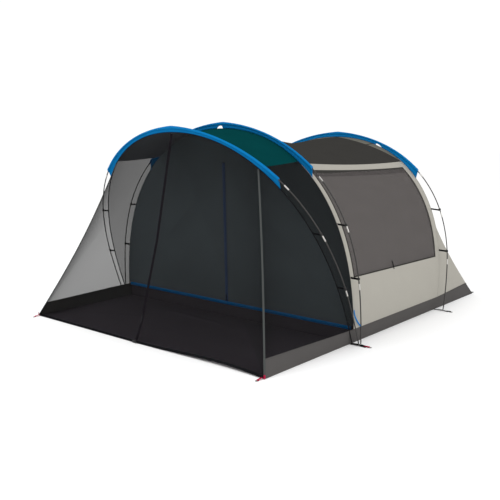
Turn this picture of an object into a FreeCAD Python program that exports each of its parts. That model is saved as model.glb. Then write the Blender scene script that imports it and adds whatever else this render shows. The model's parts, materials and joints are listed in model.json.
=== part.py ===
"""Tunnel tent: three bent poles, a bedroom with a sewn-in floor and a mesh porch in front of it.

Millimetres, +Z up. The origin is on the ground, in the middle of the ground plan. -Y is the porch end.
Places along the tent are given from the middle pole, which stands between porch and bedroom.
Cloth is drawn CLOTH thick, as flat strips that meet face to face.
"""
import FreeCAD
import Part
import math
import os
from FreeCAD import Vector

# ---- driving dimensions -------------------------------------------------------------------------
FLOOR_HALF_WIDTH = 1525.0
PORCH_LENGTH = 1250.0
BEDROOM_LENGTH = 2680.0
REAR_POLE_FROM_MIDDLE = 1670.0
MIDDLE_Y = -710.0              # puts the origin in the middle of the ground plan
BAND_HEIGHT = 130.0            # the grey bathtub wall round the floor
CLOTH = 3.0
SEAM_GAP = 3.0                 # room for a pole's flange between two panels
BODY_GAP = 1.0                 # between cloth that moves and cloth that doesn't
BAND_SEAM = 8.0                # from the band's top up to the cloth above it

# poles: x / span to the power POLE_SHAPE_X plus height / crown to the power POLE_SHAPE_UP is 1
POLE_SHAPE_X = 1.85
POLE_SHAPE_UP = 2.74
POLE_R = 5.5
POLE_BORE_R = 3.2
POLE_START = 13.0              # height of a pole's open end
POLE_LEG = 55.0                # straight part above each foot
POLE_SECTIONS = 11
SECTION_GAP = 1.0
FERRULE_R = 7.0
FERRULE_BORE_R = 6.2
FERRULE_LENGTH = 56.0
SHOCK_CORD_R = 1.5
SHOCK_CORD_END = 75.0          # along the pole, from its open end to the cord's knot

# the cloth seam inside each pole
SEAM_HALF_SPAN = 1547.0
SEAM_SHAPE_X = 2.1
SEAM_SHAPE_UP = 2.5
SEAM_DROP = 45.0               # from the pole's crown down to the seam

SLEEVE_R = 10.0
SLEEVE_BORE_R = 8.0
SLEEVE_HALF_SPAN = 1130.0
SLEEVE_STRIPS = 12
FLANGE = 3.0
FLANGE_START = 16.0            # from the pole's axis to the flange's outer edge
HALF_MOON_R = 42.0
HALF_MOON_DEPTH = 60.0

EAVE = 1604.0                  # height where the roof cloth meets the walls
WINDOW_SILL = 604.0
WINDOW_HEAD = 1545.0
WINDOW_FROM = 0.05             # of the way from the middle pole to the rear pole
WINDOW_TO = 0.95
WINDOW_ROWS = 4
WINDOW_FLAP_INSIDE = 9.0
WINDOW_FLAP_SHORT = 18.0       # from the window's head down to the flap's fold
ROOF_ROWS = 8
BEDROOM_SAG = 115.0
PORCH_SAG = 30.0
SAG_FADE = 6                   # how fast the sag fades from the crown down the sides
ROOF_EDGE_FROM = 0.94
LEANING_OUT = (0.94, 0.34)     # outwards and up, square to cloth that leans in

# porch front
FRONT_PIPING_TOP = 1600.0      # height where a corner piping reaches the front pole
REAR_PIPING_TOP = 1300.0
FRONT_ZIP_TOP = (-740.0, 1897.0)        # y from the middle pole, z
FRONT_ZIP_KNEE = (-951.0, 920.0)
FRONT_ZIP_ANKLE = (-1168.0, 170.0)
FRONT_ZIP_FOOT = (-1240.0, 0.0)
SILL_HEIGHT = 22.0
SILL_SEAM = 4.0                # from the sill's top up to the door cloth
FRONT_ZIP_SHORT = 60.0         # from the zip's top down to its last tooth
FAN_SLICES = 5
GUSSET_ROWS = 5
PIPING_R = 5.0
PIPING_OFF = 10.0
PIPING_SHORT = 60.0
SIDE_MESH_SHORT = 40.0
REAR_SIDE_SHORT = 20.0

# the side-release buckle at the foot of the porch zip
BUCKLE_WIDTH = 48.0
BUCKLE_DEPTH = 14.0
BUCKLE_HEIGHT = 26.0
BUCKLE_EDGE_R = 4.0
BUCKLE_LIFT = 2.0

# zip sliders
SLIDER_WIDTH = 10.0
SLIDER_LENGTH = 28.0
SLIDER_PLATE = 2.0
SLIDER_NECK = 12.0             # along the zip
SLIDER_IN = 2.0                # from the zip's middle line to the plates
LINK_IN = -0.3                 # from the zip's middle line to the neck and its links
LINK_WIDTH = 3.0
TAB_WIDTH = 8.0
TAB_LENGTH = 50.0
TAB_HANG = 30.0
FRONT_SLIDER_UP = 40.0
DOOR_SLIDER_UP = 50.0

# bedroom door
DOOR_TOP = 1620.0
SILL_ZIP_HEIGHT = 26.0
DOOR_CORNER_X = 1500.0
DOOR_ZIP_SHORT = 25.0
HEADER_SLICES = 10
HEADER_START = 20.0            # height of the header's lowest seam point above its corner
ZIP_TAPE = 13.0
FOLD_GAP_FLAP = 4.0
FOLD_GAP_WALL = 5.0

CLIP_R = 9.5
CLIP_BORE_R = 6.2
CLIP_LENGTH = 20.0
CLIP_WEB = 5.0
CLIP_SHORT = 5.0               # from a clip's tab to the seam
CLIP_TAB_LEAST = 8.0

STRAP_END = 1690.0
STRAP_THICK = 2.5
RING_R = 13.0
RING_BORE_R = 7.0
RING_HEIGHT = 4.0
RING_X = 1727.0
CORNER_RING_OUT = 72.0         # from the floor's edge to a front corner ring's centre
REAR_RING_NEARER = 10.0
CORNER_RING_IN = 20.0          # from the floor's side edge to a corner ring's centre
MIDDLE_STRAP_WIDTH = 54.0
REAR_STRAP_WIDTH = 25.0
LOOP_WIDTH = 25.0
CORNER_LOOP_WIDTH = 20.0
LOOP_GAP = 4.0                 # from a corner loop to the cloth beside it
PIN_R = 2.4
PIN_TOP = 36.0
PIN_DISC_R = 9.0
PIN_DISC_HEIGHT = 6.0
TWO_POLES_APART = 30.0

SIDES = (("left", -1), ("right", 1))
UP = Vector(0, 0, 1)


def tent(x, y, z):
    """A point given by its distance behind the middle pole."""
    return Vector(x, MIDDLE_Y + y, z)


def between(a, b, share):
    return a + (b - a) * share


def mirrored(point, side):
    return Vector(point.x * side, point.y, point.z)


# ---- arches -------------------------------------------------------------------------------------
class Arch:
    """A bent pole and the cloth seam inside it, both in one plane that leans about the pole's feet."""

    def __init__(self, name, foot_y, lean, crown, half_span):
        self.name = name
        self.foot_y = foot_y
        self.lean = math.radians(lean)
        self.crown = crown
        self.half_span = half_span
        self.square = Vector(0, math.cos(self.lean), -math.sin(self.lean))

    def place(self, x, up, across=0.0):
        """A point x to the side, up along the leaning plane and across behind it."""
        in_plane = Vector(x, self.foot_y + up * math.sin(self.lean), up * math.cos(self.lean))
        return in_plane + self.square * across

    def pole(self, turn):
        """The pole's axis; turn runs from 0 at the right foot to pi at the left foot."""
        x = math.copysign(abs(math.cos(turn)) ** (2 / POLE_SHAPE_X), math.cos(turn))
        up = abs(math.sin(turn)) ** (2 / POLE_SHAPE_UP)
        return self.place(self.half_span * x, POLE_LEG + (self.crown - POLE_LEG) * up)

    def seam(self, turn, across=0.0):
        x = math.copysign(abs(math.cos(turn)) ** (2 / SEAM_SHAPE_X), math.cos(turn))
        up = abs(math.sin(turn)) ** (2 / SEAM_SHAPE_UP)
        return self.place(SEAM_HALF_SPAN * x, (self.crown - SEAM_DROP) * up, across)

    def seam_turn(self, height):
        """The turn at which the right half of the seam is at this height."""
        up = height / math.cos(self.lean)
        return math.asin((up / (self.crown - SEAM_DROP)) ** (SEAM_SHAPE_UP / 2))

    def outward(self, turn):
        """Square to the seam, in the plane of X and Z."""
        step = 0.01
        along = self.seam(turn + step) - self.seam(turn - step)
        out = Vector(along.z, 0, -along.x)
        return out.normalize()


FRONT = Arch("front", MIDDLE_Y - TWO_POLES_APART / 2, -20.7, 2076.0, 1620.0)
MIDDLE = Arch("middle", MIDDLE_Y + TWO_POLES_APART / 2, -1.6, 1983.0, 1620.0)
REAR = Arch("rear", MIDDLE_Y + REAR_POLE_FROM_MIDDLE, 10.8, 1918.0, 1630.0)
ARCHES = (FRONT, MIDDLE, REAR)
CLIP_HEIGHTS = {"front": (560.0, 1046.0), "middle": (611.0, 1086.0), "rear": (634.0, 1067.0)}
HALF_MOON_X = {"front": (), "middle": (-40.0,), "rear": (-594.0, 594.0)}


class PoleLine:
    """A pole's axis by distance along it, from its right end to its left end."""

    def __init__(self, arch, steps=720):
        self.points = [arch.place(arch.half_span, POLE_START)]
        self.points += [arch.pole(math.pi * i / steps) for i in range(steps + 1)]
        self.points.append(arch.place(-arch.half_span, POLE_START))
        self.run = [0.0]
        for a, b in zip(self.points, self.points[1:]):
            self.run.append(self.run[-1] + (b - a).Length)
        self.length = self.run[-1]

    def at(self, distance):
        for i in range(1, len(self.run)):
            if self.run[i] >= distance:
                share = (distance - self.run[i - 1]) / (self.run[i] - self.run[i - 1])
                return between(self.points[i - 1], self.points[i], share)
        return self.points[-1]

    def along(self, distance):
        return (self.at(distance + 1) - self.at(distance - 1)).normalize()

    def at_x(self, x):
        """The distance at which the pole passes this x."""
        low, high = 0.0, self.length
        while high - low > 0.1:
            middle = (low + high) / 2
            if self.at(middle).x > x:
                low = middle
            else:
                high = middle
        return low

    def at_height(self, height, side):
        """The distance at which one half of the pole passes this height."""
        foot, top = (0.0, self.length / 2) if side > 0 else (self.length, self.length / 2)
        while abs(top - foot) > 0.1:
            middle = (foot + top) / 2
            if self.at(middle).z < height:
                foot = middle
            else:
                top = middle
        return foot


# ---- shape helpers ------------------------------------------------------------------------------
def strip(section_a, section_b):
    """A strip of cloth between two four-cornered sections."""
    wires = [Part.makePolygon(list(s) + [s[0]]) for s in (section_a, section_b)]
    return Part.makeLoft(wires, True, True)


def cloth(pairs, offsets):
    """Strips between successive pairs of edge points, thickened by one offset for each pair."""
    sections = [(a, b, b + off, a + off) for (a, b), off in zip(pairs, offsets)]
    return [strip(a, b) for a, b in zip(sections, sections[1:])]


def sheet(pairs, offset):
    return cloth(pairs, [offset] * len(pairs))


def arc_rod(a, middle, b, radius, bore=0.0):
    """A round bar or tube along the arc through three points."""
    arc = Part.Arc(a, middle, b).toShape()
    circle = arc.Curve
    tangent = arc.tangentAt(arc.FirstParameter)
    rings = [Part.Wire(Part.makeCircle(radius, a, tangent))]
    if bore:
        rings.append(Part.Wire(Part.makeCircle(bore, a, tangent)))
    face = Part.makeFace(rings, "Part::FaceMakerBullseye")
    return face.revolve(circle.Center, circle.Axis, math.degrees(arc.LastParameter - arc.FirstParameter))


def tube(base, direction, radius, bore, length):
    outer = Part.makeCylinder(radius, length, base, direction)
    return outer.cut(Part.makeCylinder(bore, length, base, direction))


def block(corner, along_x, along_y, along_z):
    """A box spanned by three edge vectors."""
    far = corner + along_x + along_y
    outline = [corner, corner + along_x, far, corner + along_y, corner]
    return Part.Face(Part.makePolygon(outline)).extrude(along_z)


def plate(points, offset):
    """A flat plate with this outline."""
    return Part.Face(Part.makePolygon(points + [points[0]])).extrude(offset)


# ---- poles, sleeves, clips ----------------------------------------------------------------------
def pole_sections(line):
    length = line.length / POLE_SECTIONS
    tubes = []
    for i in range(POLE_SECTIONS):
        start = i * length + (SECTION_GAP / 2 if i else 0)
        end = (i + 1) * length - (SECTION_GAP / 2 if i < POLE_SECTIONS - 1 else 0)
        points = [line.at(start), line.at((start + end) / 2), line.at(end)]
        tubes.append(arc_rod(*points, POLE_R, POLE_BORE_R))
    return tubes


def pole_ferrules(line):
    ferrules = []
    for i in range(1, POLE_SECTIONS):
        distance = line.length * i / POLE_SECTIONS
        base = line.at(distance) - line.along(distance) * (FERRULE_LENGTH / 2)
        ferrules.append(tube(base, line.along(distance), FERRULE_R, FERRULE_BORE_R, FERRULE_LENGTH))
    return ferrules


def shock_cord(line):
    """One elastic cord through the whole pole, knotted short of both ends, by pole section."""
    stops = [line.length * i / POLE_SECTIONS for i in range(POLE_SECTIONS + 1)]
    stops[0] = SHOCK_CORD_END
    stops[-1] = line.length - SHOCK_CORD_END
    rods = []
    for start, end in zip(stops, stops[1:]):
        rods.append(arc_rod(line.at(start), line.at((start + end) / 2), line.at(end), SHOCK_CORD_R))
    return rods


def sleeve(arch, line):
    """The tube of cloth round the top of a pole, and the flange that joins it to the roof seam."""
    start, end = line.at_x(SLEEVE_HALF_SPAN), line.at_x(-SLEEVE_HALF_SPAN)
    stops = [start + (end - start) * i / SLEEVE_STRIPS for i in range(SLEEVE_STRIPS + 1)]
    solids = []
    for a, b in zip(stops, stops[1:]):
        solids.append(arc_rod(line.at(a), line.at((a + b) / 2), line.at(b), SLEEVE_R, SLEEVE_BORE_R))
    first = turn_at(arch, SLEEVE_HALF_SPAN)
    turns = [first + (math.pi - 2 * first) * i / SLEEVE_STRIPS for i in range(SLEEVE_STRIPS + 1)]
    half = arch.square * (FLANGE / 2)
    pairs = []
    for turn in turns:
        pole, seam = arch.pole(turn), arch.seam(turn)
        inward = (seam - pole).normalize()
        pairs.append((pole + inward * FLANGE_START - half, seam - half))
    flange = sheet(pairs, arch.square * FLANGE)
    for x in HALF_MOON_X[arch.name]:
        start_of_hole = arch.seam(turn_at(arch, x), -HALF_MOON_DEPTH / 2)
        hole = Part.makeCylinder(HALF_MOON_R, HALF_MOON_DEPTH, start_of_hole, arch.square)
        flange = [piece.cut(hole) for piece in flange]
    return solids + [solid for piece in flange for solid in piece.Solids]


def turn_at(arch, x):
    """The turn at which the pole passes this x."""
    share = abs(x) / arch.half_span
    turn = math.acos(share ** (POLE_SHAPE_X / 2))
    return turn if x >= 0 else math.pi - turn


def clip(arch, line, height, side):
    """A plastic hook round the pole with a tab that is sewn to the seam."""
    distance = line.at_height(height, side)
    centre, along = line.at(distance), line.along(distance)
    inward = arch.square.cross(along).normalize()
    if inward.x * side > 0:
        inward = inward * -1
    base = centre - along * (CLIP_LENGTH / 2)
    ring = tube(base, along, CLIP_R, CLIP_BORE_R, CLIP_LENGTH)
    mouth = base - inward * (CLIP_R * 2) - arch.square * (CLIP_WEB / 2)
    ring = ring.cut(block(mouth, inward * (CLIP_R * 2), arch.square * CLIP_WEB, along * CLIP_LENGTH))
    seam_x = arch.seam(arch.seam_turn(height)).x
    reach = abs(centre.x) - seam_x - CLIP_SHORT
    corner = base + inward * (CLIP_BORE_R + 1) - arch.square * (CLIP_WEB / 2)
    tab_length = max(reach - CLIP_BORE_R - 1, CLIP_TAB_LEAST)
    web = block(corner, inward * tab_length, arch.square * CLIP_WEB, along * CLIP_LENGTH)
    return ring.fuse(web).removeSplitter()


def clips(lines):
    solids = []
    for arch in ARCHES:
        for height in CLIP_HEIGHTS[arch.name]:
            for _, side in SIDES:
                solids.append(clip(arch, lines[arch.name], height, side))
    return solids


# ---- feet and peg rings -------------------------------------------------------------------------
def foot_pins():
    pins = []
    for arch in ARCHES:
        for _, side in SIDES:
            foot = arch.place(arch.half_span * side, 0)
            disc = Part.makeCylinder(PIN_DISC_R, PIN_DISC_HEIGHT, Vector(foot.x, foot.y, STRAP_THICK))
            low = arch.place(arch.half_span * side, STRAP_THICK + PIN_DISC_HEIGHT / 2)
            axis = arch.place(0, 1) - arch.place(0, 0)
            pins.append(disc.fuse(Part.makeCylinder(PIN_R, PIN_TOP, low, axis)).removeSplitter())
    return pins


def strap(side, y, width):
    """Webbing that lies on the ground from the floor's edge out under a pole's foot."""
    start = FLOOR_HALF_WIDTH + CLOTH + BODY_GAP
    corner = tent(side * start, y - width / 2, 0)
    return block(corner, Vector(side * (STRAP_END - start), 0, 0), Vector(0, width, 0), UP * STRAP_THICK)


def foot_straps():
    middle = [strap(side, 0, MIDDLE_STRAP_WIDTH) for _, side in SIDES]
    rear = [strap(side, REAR_POLE_FROM_MIDDLE, REAR_STRAP_WIDTH) for _, side in SIDES]
    return middle + rear


def ring_places():
    """Centres of the eight steel rings that the pegs go through, with the way out from the tent."""
    places = {}
    for name, side in SIDES:
        out = Vector(side, 0, 0)
        places["middle_" + name] = (tent(side * RING_X, 0, 0), out)
        places["rear_pole_" + name] = (tent(side * RING_X, REAR_POLE_FROM_MIDDLE, 0), out)
        corner_x = side * (FLOOR_HALF_WIDTH - CORNER_RING_IN)
        front_y = -PORCH_LENGTH - CORNER_RING_OUT
        rear_y = BEDROOM_LENGTH + CORNER_RING_OUT - REAR_RING_NEARER
        places["front_" + name] = (tent(corner_x, front_y, 0), Vector(0, -1, 0))
        places["rear_" + name] = (tent(corner_x, rear_y, 0), Vector(0, 1, 0))
    return places


def peg_rings():
    return [tube(centre, UP, RING_R, RING_BORE_R, RING_HEIGHT) for centre, _ in ring_places().values()]


def loop(centre, out, start, width):
    """Webbing from a distance inside the ring's centre up to the ring."""
    across = UP.cross(out) * width
    corner = centre - out * start - across / 2
    return block(corner, out * (start - RING_R - BODY_GAP), across, UP * STRAP_THICK)


def peg_loops(names, start, width):
    places = ring_places()
    return [loop(*places[name], start, width) for name in names]


# ---- floors and bands ---------------------------------------------------------------------------
def floor(front, rear):
    corner = tent(-FLOOR_HALF_WIDTH, front, 0)
    return [block(corner, Vector(2 * FLOOR_HALF_WIDTH, 0, 0), Vector(0, rear - front, 0), UP * CLOTH)]


def front_corner(height):
    """Right front piping at this height."""
    top = FRONT.seam(FRONT.seam_turn(FRONT_PIPING_TOP), -SEAM_GAP)
    foot = tent(FLOOR_HALF_WIDTH, -PORCH_LENGTH, 0)
    return between(foot, top, height / FRONT_PIPING_TOP)


def rear_corner(height):
    """Right rear piping at this height."""
    top = REAR.seam(REAR.seam_turn(REAR_PIPING_TOP), SEAM_GAP)
    foot = tent(FLOOR_HALF_WIDTH, BEDROOM_LENGTH, 0)
    return between(foot, top, height / REAR_PIPING_TOP)


def band_top(arch, across):
    return arch.seam(arch.seam_turn(BAND_HEIGHT), across)


def porch_band(side):
    pairs = [(tent(FLOOR_HALF_WIDTH, -SEAM_GAP - TWO_POLES_APART / 2, 0), band_top(FRONT, -SEAM_GAP)),
             (tent(FLOOR_HALF_WIDTH, -PORCH_LENGTH, 0), front_corner(BAND_HEIGHT))]
    return mirrored_sheet(pairs, Vector(CLOTH, 0, 0), side)


def bedroom_band(side):
    pairs = [(tent(FLOOR_HALF_WIDTH, SEAM_GAP + TWO_POLES_APART / 2, 0), band_top(MIDDLE, SEAM_GAP)),
             (tent(FLOOR_HALF_WIDTH, REAR_POLE_FROM_MIDDLE, 0), band_top(REAR, 0)),
             (tent(FLOOR_HALF_WIDTH, BEDROOM_LENGTH, 0), rear_corner(BAND_HEIGHT))]
    return mirrored_sheet(pairs, Vector(CLOTH, 0, 0), side)


def rear_band():
    low = tent(FLOOR_HALF_WIDTH, BEDROOM_LENGTH + BODY_GAP, 0)
    high = rear_corner(BAND_HEIGHT) + Vector(0, BODY_GAP, 0)
    pairs = [(mirrored(low, side), mirrored(high, side)) for _, side in SIDES]
    return sheet(pairs, Vector(0, CLOTH, 0))


def mirrored_sheet(pairs, offset, side):
    both = [(mirrored(a, side), mirrored(b, side)) for a, b in pairs]
    return sheet(both, mirrored(offset, side))


# ---- skins between arches -----------------------------------------------------------------------
def skin(front, rear, share, turn, sag, inside=0.0):
    """A point of the cloth between two arches; it sags most at the crown, half way along."""
    a, b = front.seam(turn, SEAM_GAP), rear.seam(turn, -SEAM_GAP)
    drop = 4 * share * (1 - share) * sag * math.sin(turn) ** SAG_FADE + inside
    return between(a, b, share) - front.outward(turn) * drop


def skin_patch(front, rear, shares, turns, sag, side=1, inside=0.0):
    """Strips of cloth over a grid of shares along the tent and turns round the arches."""
    solids = []
    for s0, s1 in zip(shares, shares[1:]):
        pairs = []
        for turn in turns:
            a = mirrored(skin(front, rear, s0, turn, sag, inside), side)
            b = mirrored(skin(front, rear, s1, turn, sag, inside), side)
            pairs.append((a, b))
        offsets = [mirrored(front.outward(turn) * CLOTH, side) for turn in turns]
        solids += cloth(pairs, offsets)
    return solids


def spaced(start, end, count):
    return [start + (end - start) * i / count for i in range(count + 1)]


def roof(front, rear, shares, sag):
    eave = front.seam_turn(EAVE)
    return skin_patch(front, rear, shares, spaced(eave, math.pi - eave, ROOF_ROWS), sag)


def side_wall(side):
    """The wall round a window, from the band up to the eave."""
    heights = (BAND_HEIGHT + BAND_SEAM, WINDOW_SILL, WINDOW_HEAD, EAVE)
    band, sill, head, eave = [MIDDLE.seam_turn(height) for height in heights]
    whole = (0.0, 0.5, 1.0)
    rows = window_rows()
    solids = skin_patch(MIDDLE, REAR, whole, (band, sill), BEDROOM_SAG, side)
    solids += skin_patch(MIDDLE, REAR, whole, (head, eave), BEDROOM_SAG, side)
    solids += skin_patch(MIDDLE, REAR, (0.0, WINDOW_FROM), rows, BEDROOM_SAG, side)
    solids += skin_patch(MIDDLE, REAR, (WINDOW_TO, 1.0), rows, BEDROOM_SAG, side)
    return solids


def window_rows(short=0.0):
    return spaced(MIDDLE.seam_turn(WINDOW_SILL), MIDDLE.seam_turn(WINDOW_HEAD - short), WINDOW_ROWS)


def window_mesh(side):
    shares = (WINDOW_FROM, 0.5, WINDOW_TO)
    return skin_patch(MIDDLE, REAR, shares, window_rows(), BEDROOM_SAG, side)


def window_flap(side):
    """The privacy panel that hangs inside the window mesh."""
    shares = (WINDOW_FROM + 0.01, 0.5, WINDOW_TO - 0.01)
    rows = window_rows(WINDOW_FLAP_SHORT)
    return skin_patch(MIDDLE, REAR, shares, rows, BEDROOM_SAG, side, WINDOW_FLAP_INSIDE)


def porch_gusset(side):
    """Mesh between the front pole and the middle pole, below the roof."""
    turns = spaced(FRONT.seam_turn(BAND_HEIGHT + BAND_SEAM), FRONT.seam_turn(EAVE), GUSSET_ROWS)
    return skin_patch(FRONT, MIDDLE, (0.0, 1.0), turns, PORCH_SAG, side)


# ---- porch front --------------------------------------------------------------------------------
def fold(height):
    """The diagonal that a porch door half folds back along, from the right corner to the zip's top."""
    top = tent(0, *FRONT_ZIP_TOP)
    foot = tent(FLOOR_HALF_WIDTH, -PORCH_LENGTH, 0)
    return between(foot, top, height / FRONT_ZIP_TOP[1])


def zip_line(height):
    """The porch zip, in three straight runs."""
    stops = (FRONT_ZIP_FOOT, FRONT_ZIP_ANKLE, FRONT_ZIP_KNEE, FRONT_ZIP_TOP)
    for (y0, z0), (y1, z1) in zip(stops, stops[1:]):
        if height <= z1:
            return tent(0, y0 + (y1 - y0) * (height - z0) / (z1 - z0), height)
    return tent(0, *FRONT_ZIP_TOP)


def front_out():
    """Square to the plane of the porch door, outwards."""
    rise = FRONT_ZIP_TOP[1]
    run = FRONT_ZIP_TOP[0] + PORCH_LENGTH
    return Vector(0, -rise, run).normalize()


def door_heights():
    low, high = SILL_HEIGHT + SILL_SEAM, FRONT_ZIP_TOP[1] - FRONT_ZIP_SHORT
    return (low, FRONT_ZIP_ANKLE[1], FRONT_ZIP_KNEE[1], high)


def front_flap(side):
    pairs = []
    for height in door_heights():
        inner = zip_line(height) + Vector(BODY_GAP + ZIP_TAPE, 0, 0)
        pairs.append((inner, fold(height) - Vector(FOLD_GAP_FLAP, 0, 0)))
    return mirrored_sheet(pairs, front_out() * CLOTH, side)


def front_zip(side):
    """Half of the porch zip, sewn to its door half."""
    pairs = []
    for height in door_heights():
        edge = zip_line(height)
        pairs.append((edge + Vector(BODY_GAP, 0, 0), edge + Vector(BODY_GAP + ZIP_TAPE, 0, 0)))
    return mirrored_sheet(pairs, front_out() * CLOTH, side)


def front_fan(side):
    """Fixed mesh between the fold and the corner piping, up to the front pole."""
    low = SILL_HEIGHT + SILL_SEAM
    crown, piping = math.pi / 2, FRONT.seam_turn(FRONT_PIPING_TOP)
    pairs = []
    for share in spaced(0, 1, FAN_SLICES):
        foot = between(fold(low) + Vector(FOLD_GAP_WALL, 0, 0), front_corner(low), share)
        top = FRONT.seam(crown + (piping - crown) * share, -SEAM_GAP)
        if share == 0:
            top = fold(FRONT_ZIP_TOP[1]) + Vector(FOLD_GAP_WALL, 0, 0)
        pairs.append((foot, top))
    return mirrored_sheet(pairs, front_out() * CLOTH, side)


def porch_side(side):
    """Side mesh between the corner piping and the front pole."""
    low, high = FRONT.seam_turn(BAND_HEIGHT + BAND_SEAM), FRONT.seam_turn(FRONT_PIPING_TOP)
    corner = front_corner(BAND_HEIGHT + BAND_SEAM)
    pairs = []
    for share in spaced(0, 1, FAN_SLICES):
        on_pole = FRONT.seam(low + (high - low) * share, -SEAM_GAP * 2)
        on_piping = between(corner, front_corner(FRONT_PIPING_TOP - SIDE_MESH_SHORT), share)
        pairs.append((on_pole, on_piping))
    out, rise = LEANING_OUT
    return mirrored_sheet(pairs, Vector(out, 0, rise) * CLOTH, side)


def piping(side):
    off = Vector(1, -1, 0).normalize() * PIPING_OFF
    foot = mirrored(front_corner(SILL_HEIGHT) + off, side)
    top = mirrored(front_corner(FRONT_PIPING_TOP - PIPING_SHORT) + off, side)
    return [Part.makeCylinder(PIPING_R, (top - foot).Length, foot, top - foot)]


def front_sill():
    corner = tent(-FLOOR_HALF_WIDTH, -PORCH_LENGTH - CLOTH, 0)
    return [block(corner, Vector(2 * FLOOR_HALF_WIDTH, 0, 0), Vector(0, CLOTH, 0), UP * SILL_HEIGHT)]


def sill_buckle():
    corner = tent(-BUCKLE_WIDTH / 2, -PORCH_LENGTH - CLOTH - BODY_GAP - BUCKLE_DEPTH, BUCKLE_LIFT)
    body = block(corner, Vector(BUCKLE_WIDTH, 0, 0), Vector(0, BUCKLE_DEPTH, 0), UP * BUCKLE_HEIGHT)
    upright = [edge for edge in body.Edges if abs(edge.tangentAt(0).z) > 0.9]
    return [body.makeFillet(BUCKLE_EDGE_R, upright)]


def slider(start, along, out):
    """A zip slider on the left half of a zip: two plates, the neck between them, and a pull tab."""
    beside = Vector(-1, 0, 0)
    outer = start + out * (CLOTH + 1)
    inner = start - out * (SLIDER_PLATE + 1)
    through = out * (CLOTH + 2 * (SLIDER_PLATE + 1))
    thick = out * SLIDER_PLATE
    pieces = []
    for plate_start in (outer, inner):
        corner = plate_start + beside * SLIDER_IN
        pieces.append(block(corner, beside * SLIDER_WIDTH, along * SLIDER_LENGTH, thick))
        link = plate_start + beside * LINK_IN
        pieces.append(block(link, beside * LINK_WIDTH, along * SLIDER_NECK, thick))
    pieces.append(block(inner + beside * LINK_IN, beside, along * SLIDER_NECK, through))
    tab = outer + thick + beside * LINK_WIDTH - along * TAB_HANG
    pieces.append(block(tab, beside * TAB_WIDTH, along * TAB_LENGTH, thick))
    return [pieces[0].multiFuse(pieces[1:]).removeSplitter()]


def front_slider():
    low, high = zip_line(FRONT_ZIP_ANKLE[1]), zip_line(FRONT_ZIP_KNEE[1])
    along = (high - low).normalize()
    out = Vector(1, 0, 0).cross(along).normalize()
    if out.y > 0:
        out = out * -1
    return slider(low + along * FRONT_SLIDER_UP, along, out)


# ---- bedroom front wall -------------------------------------------------------------------------
def door_fold(up):
    """x of the bedroom door's fold at this height along the wall."""
    low = BAND_HEIGHT + SILL_ZIP_HEIGHT
    return DOOR_CORNER_X * (DOOR_TOP - up) / (DOOR_TOP - low)


def wall_plate(outline, side):
    """A piece of the bedroom's front wall, given by x and height in the middle pole's plane."""
    points = [MIDDLE.place(x * side, up, -CLOTH / 2) for x, up in outline]
    return plate(points, MIDDLE.square * CLOTH)


def wall_header(side):
    """Fixed cloth above one door fold, up to the seam."""
    low = BAND_HEIGHT + SILL_ZIP_HEIGHT + BODY_GAP
    crown_up = MIDDLE.crown - SEAM_DROP
    outline = [(0.0, DOOR_TOP + FOLD_GAP_WALL * 1.5), (door_fold(low) + FOLD_GAP_WALL, low)]
    start = MIDDLE.seam_turn(low + HEADER_START)
    for turn in spaced(start, math.pi / 2, HEADER_SLICES):
        seam = MIDDLE.seam(turn)
        up = crown_up * math.sin(turn) ** (2 / SEAM_SHAPE_UP)
        outline.append((max(seam.x - SEAM_GAP, 0.0), up - SEAM_GAP))
    return wall_plate(outline, side)


def door_flap(side):
    low = BAND_HEIGHT + SILL_ZIP_HEIGHT + BODY_GAP * 2
    inner = BODY_GAP + ZIP_TAPE
    reach = door_fold(low) - FOLD_GAP_FLAP
    rise = DOOR_TOP - low
    top = low + rise * (reach - inner) / DOOR_CORNER_X
    return [wall_plate([(inner, low), (reach, low), (inner, top)], side)]


def door_zip(side):
    low = BAND_HEIGHT + SILL_ZIP_HEIGHT + BODY_GAP * 2
    high = DOOR_TOP - DOOR_ZIP_SHORT
    inner, outer = BODY_GAP, BODY_GAP + ZIP_TAPE
    return [wall_plate([(inner, low), (outer, low), (outer, high), (inner, high)], side)]


def cross_band(low, high):
    """A band across the whole width, in the plane of the bedroom's front wall."""
    x = FLOOR_HALF_WIDTH - BODY_GAP
    return [wall_plate([(-x, low), (x, low), (x, high), (-x, high)], 1)]


def door_slider():
    along = MIDDLE.place(0, 1) - MIDDLE.place(0, 0)
    low = MIDDLE.place(0, BAND_HEIGHT + SILL_ZIP_HEIGHT + DOOR_SLIDER_UP, CLOTH / 2)
    return slider(low, along, MIDDLE.square * -1)


# ---- rear end -----------------------------------------------------------------------------------
def rear_side(side):
    """Cloth between the rear pole and the rear corner piping."""
    low, high = REAR.seam_turn(BAND_HEIGHT + BAND_SEAM), REAR.seam_turn(REAR_PIPING_TOP)
    corner = rear_corner(BAND_HEIGHT + BAND_SEAM)
    pairs = []
    for share in spaced(0, 1, FAN_SLICES):
        on_pole = REAR.seam(low + (high - low) * share, SEAM_GAP)
        on_piping = between(corner, rear_corner(REAR_PIPING_TOP - REAR_SIDE_SHORT), share)
        pairs.append((on_pole, on_piping))
    return mirrored_sheet(pairs, Vector(CLOTH, 0, 0), side)


def rear_wall():
    out, rise = LEANING_OUT
    low = REAR.seam_turn(REAR_PIPING_TOP)
    foot = rear_corner(BAND_HEIGHT + BODY_GAP) + Vector(0, BODY_GAP, 0)
    pairs = []
    for share in spaced(0, 1, ROOF_ROWS):
        top = REAR.seam(low + (math.pi - 2 * low) * share, SEAM_GAP + BODY_GAP)
        pairs.append((between(foot, mirrored(foot, -1), share), top))
    return sheet(pairs, Vector(0, out, rise) * CLOTH)


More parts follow.
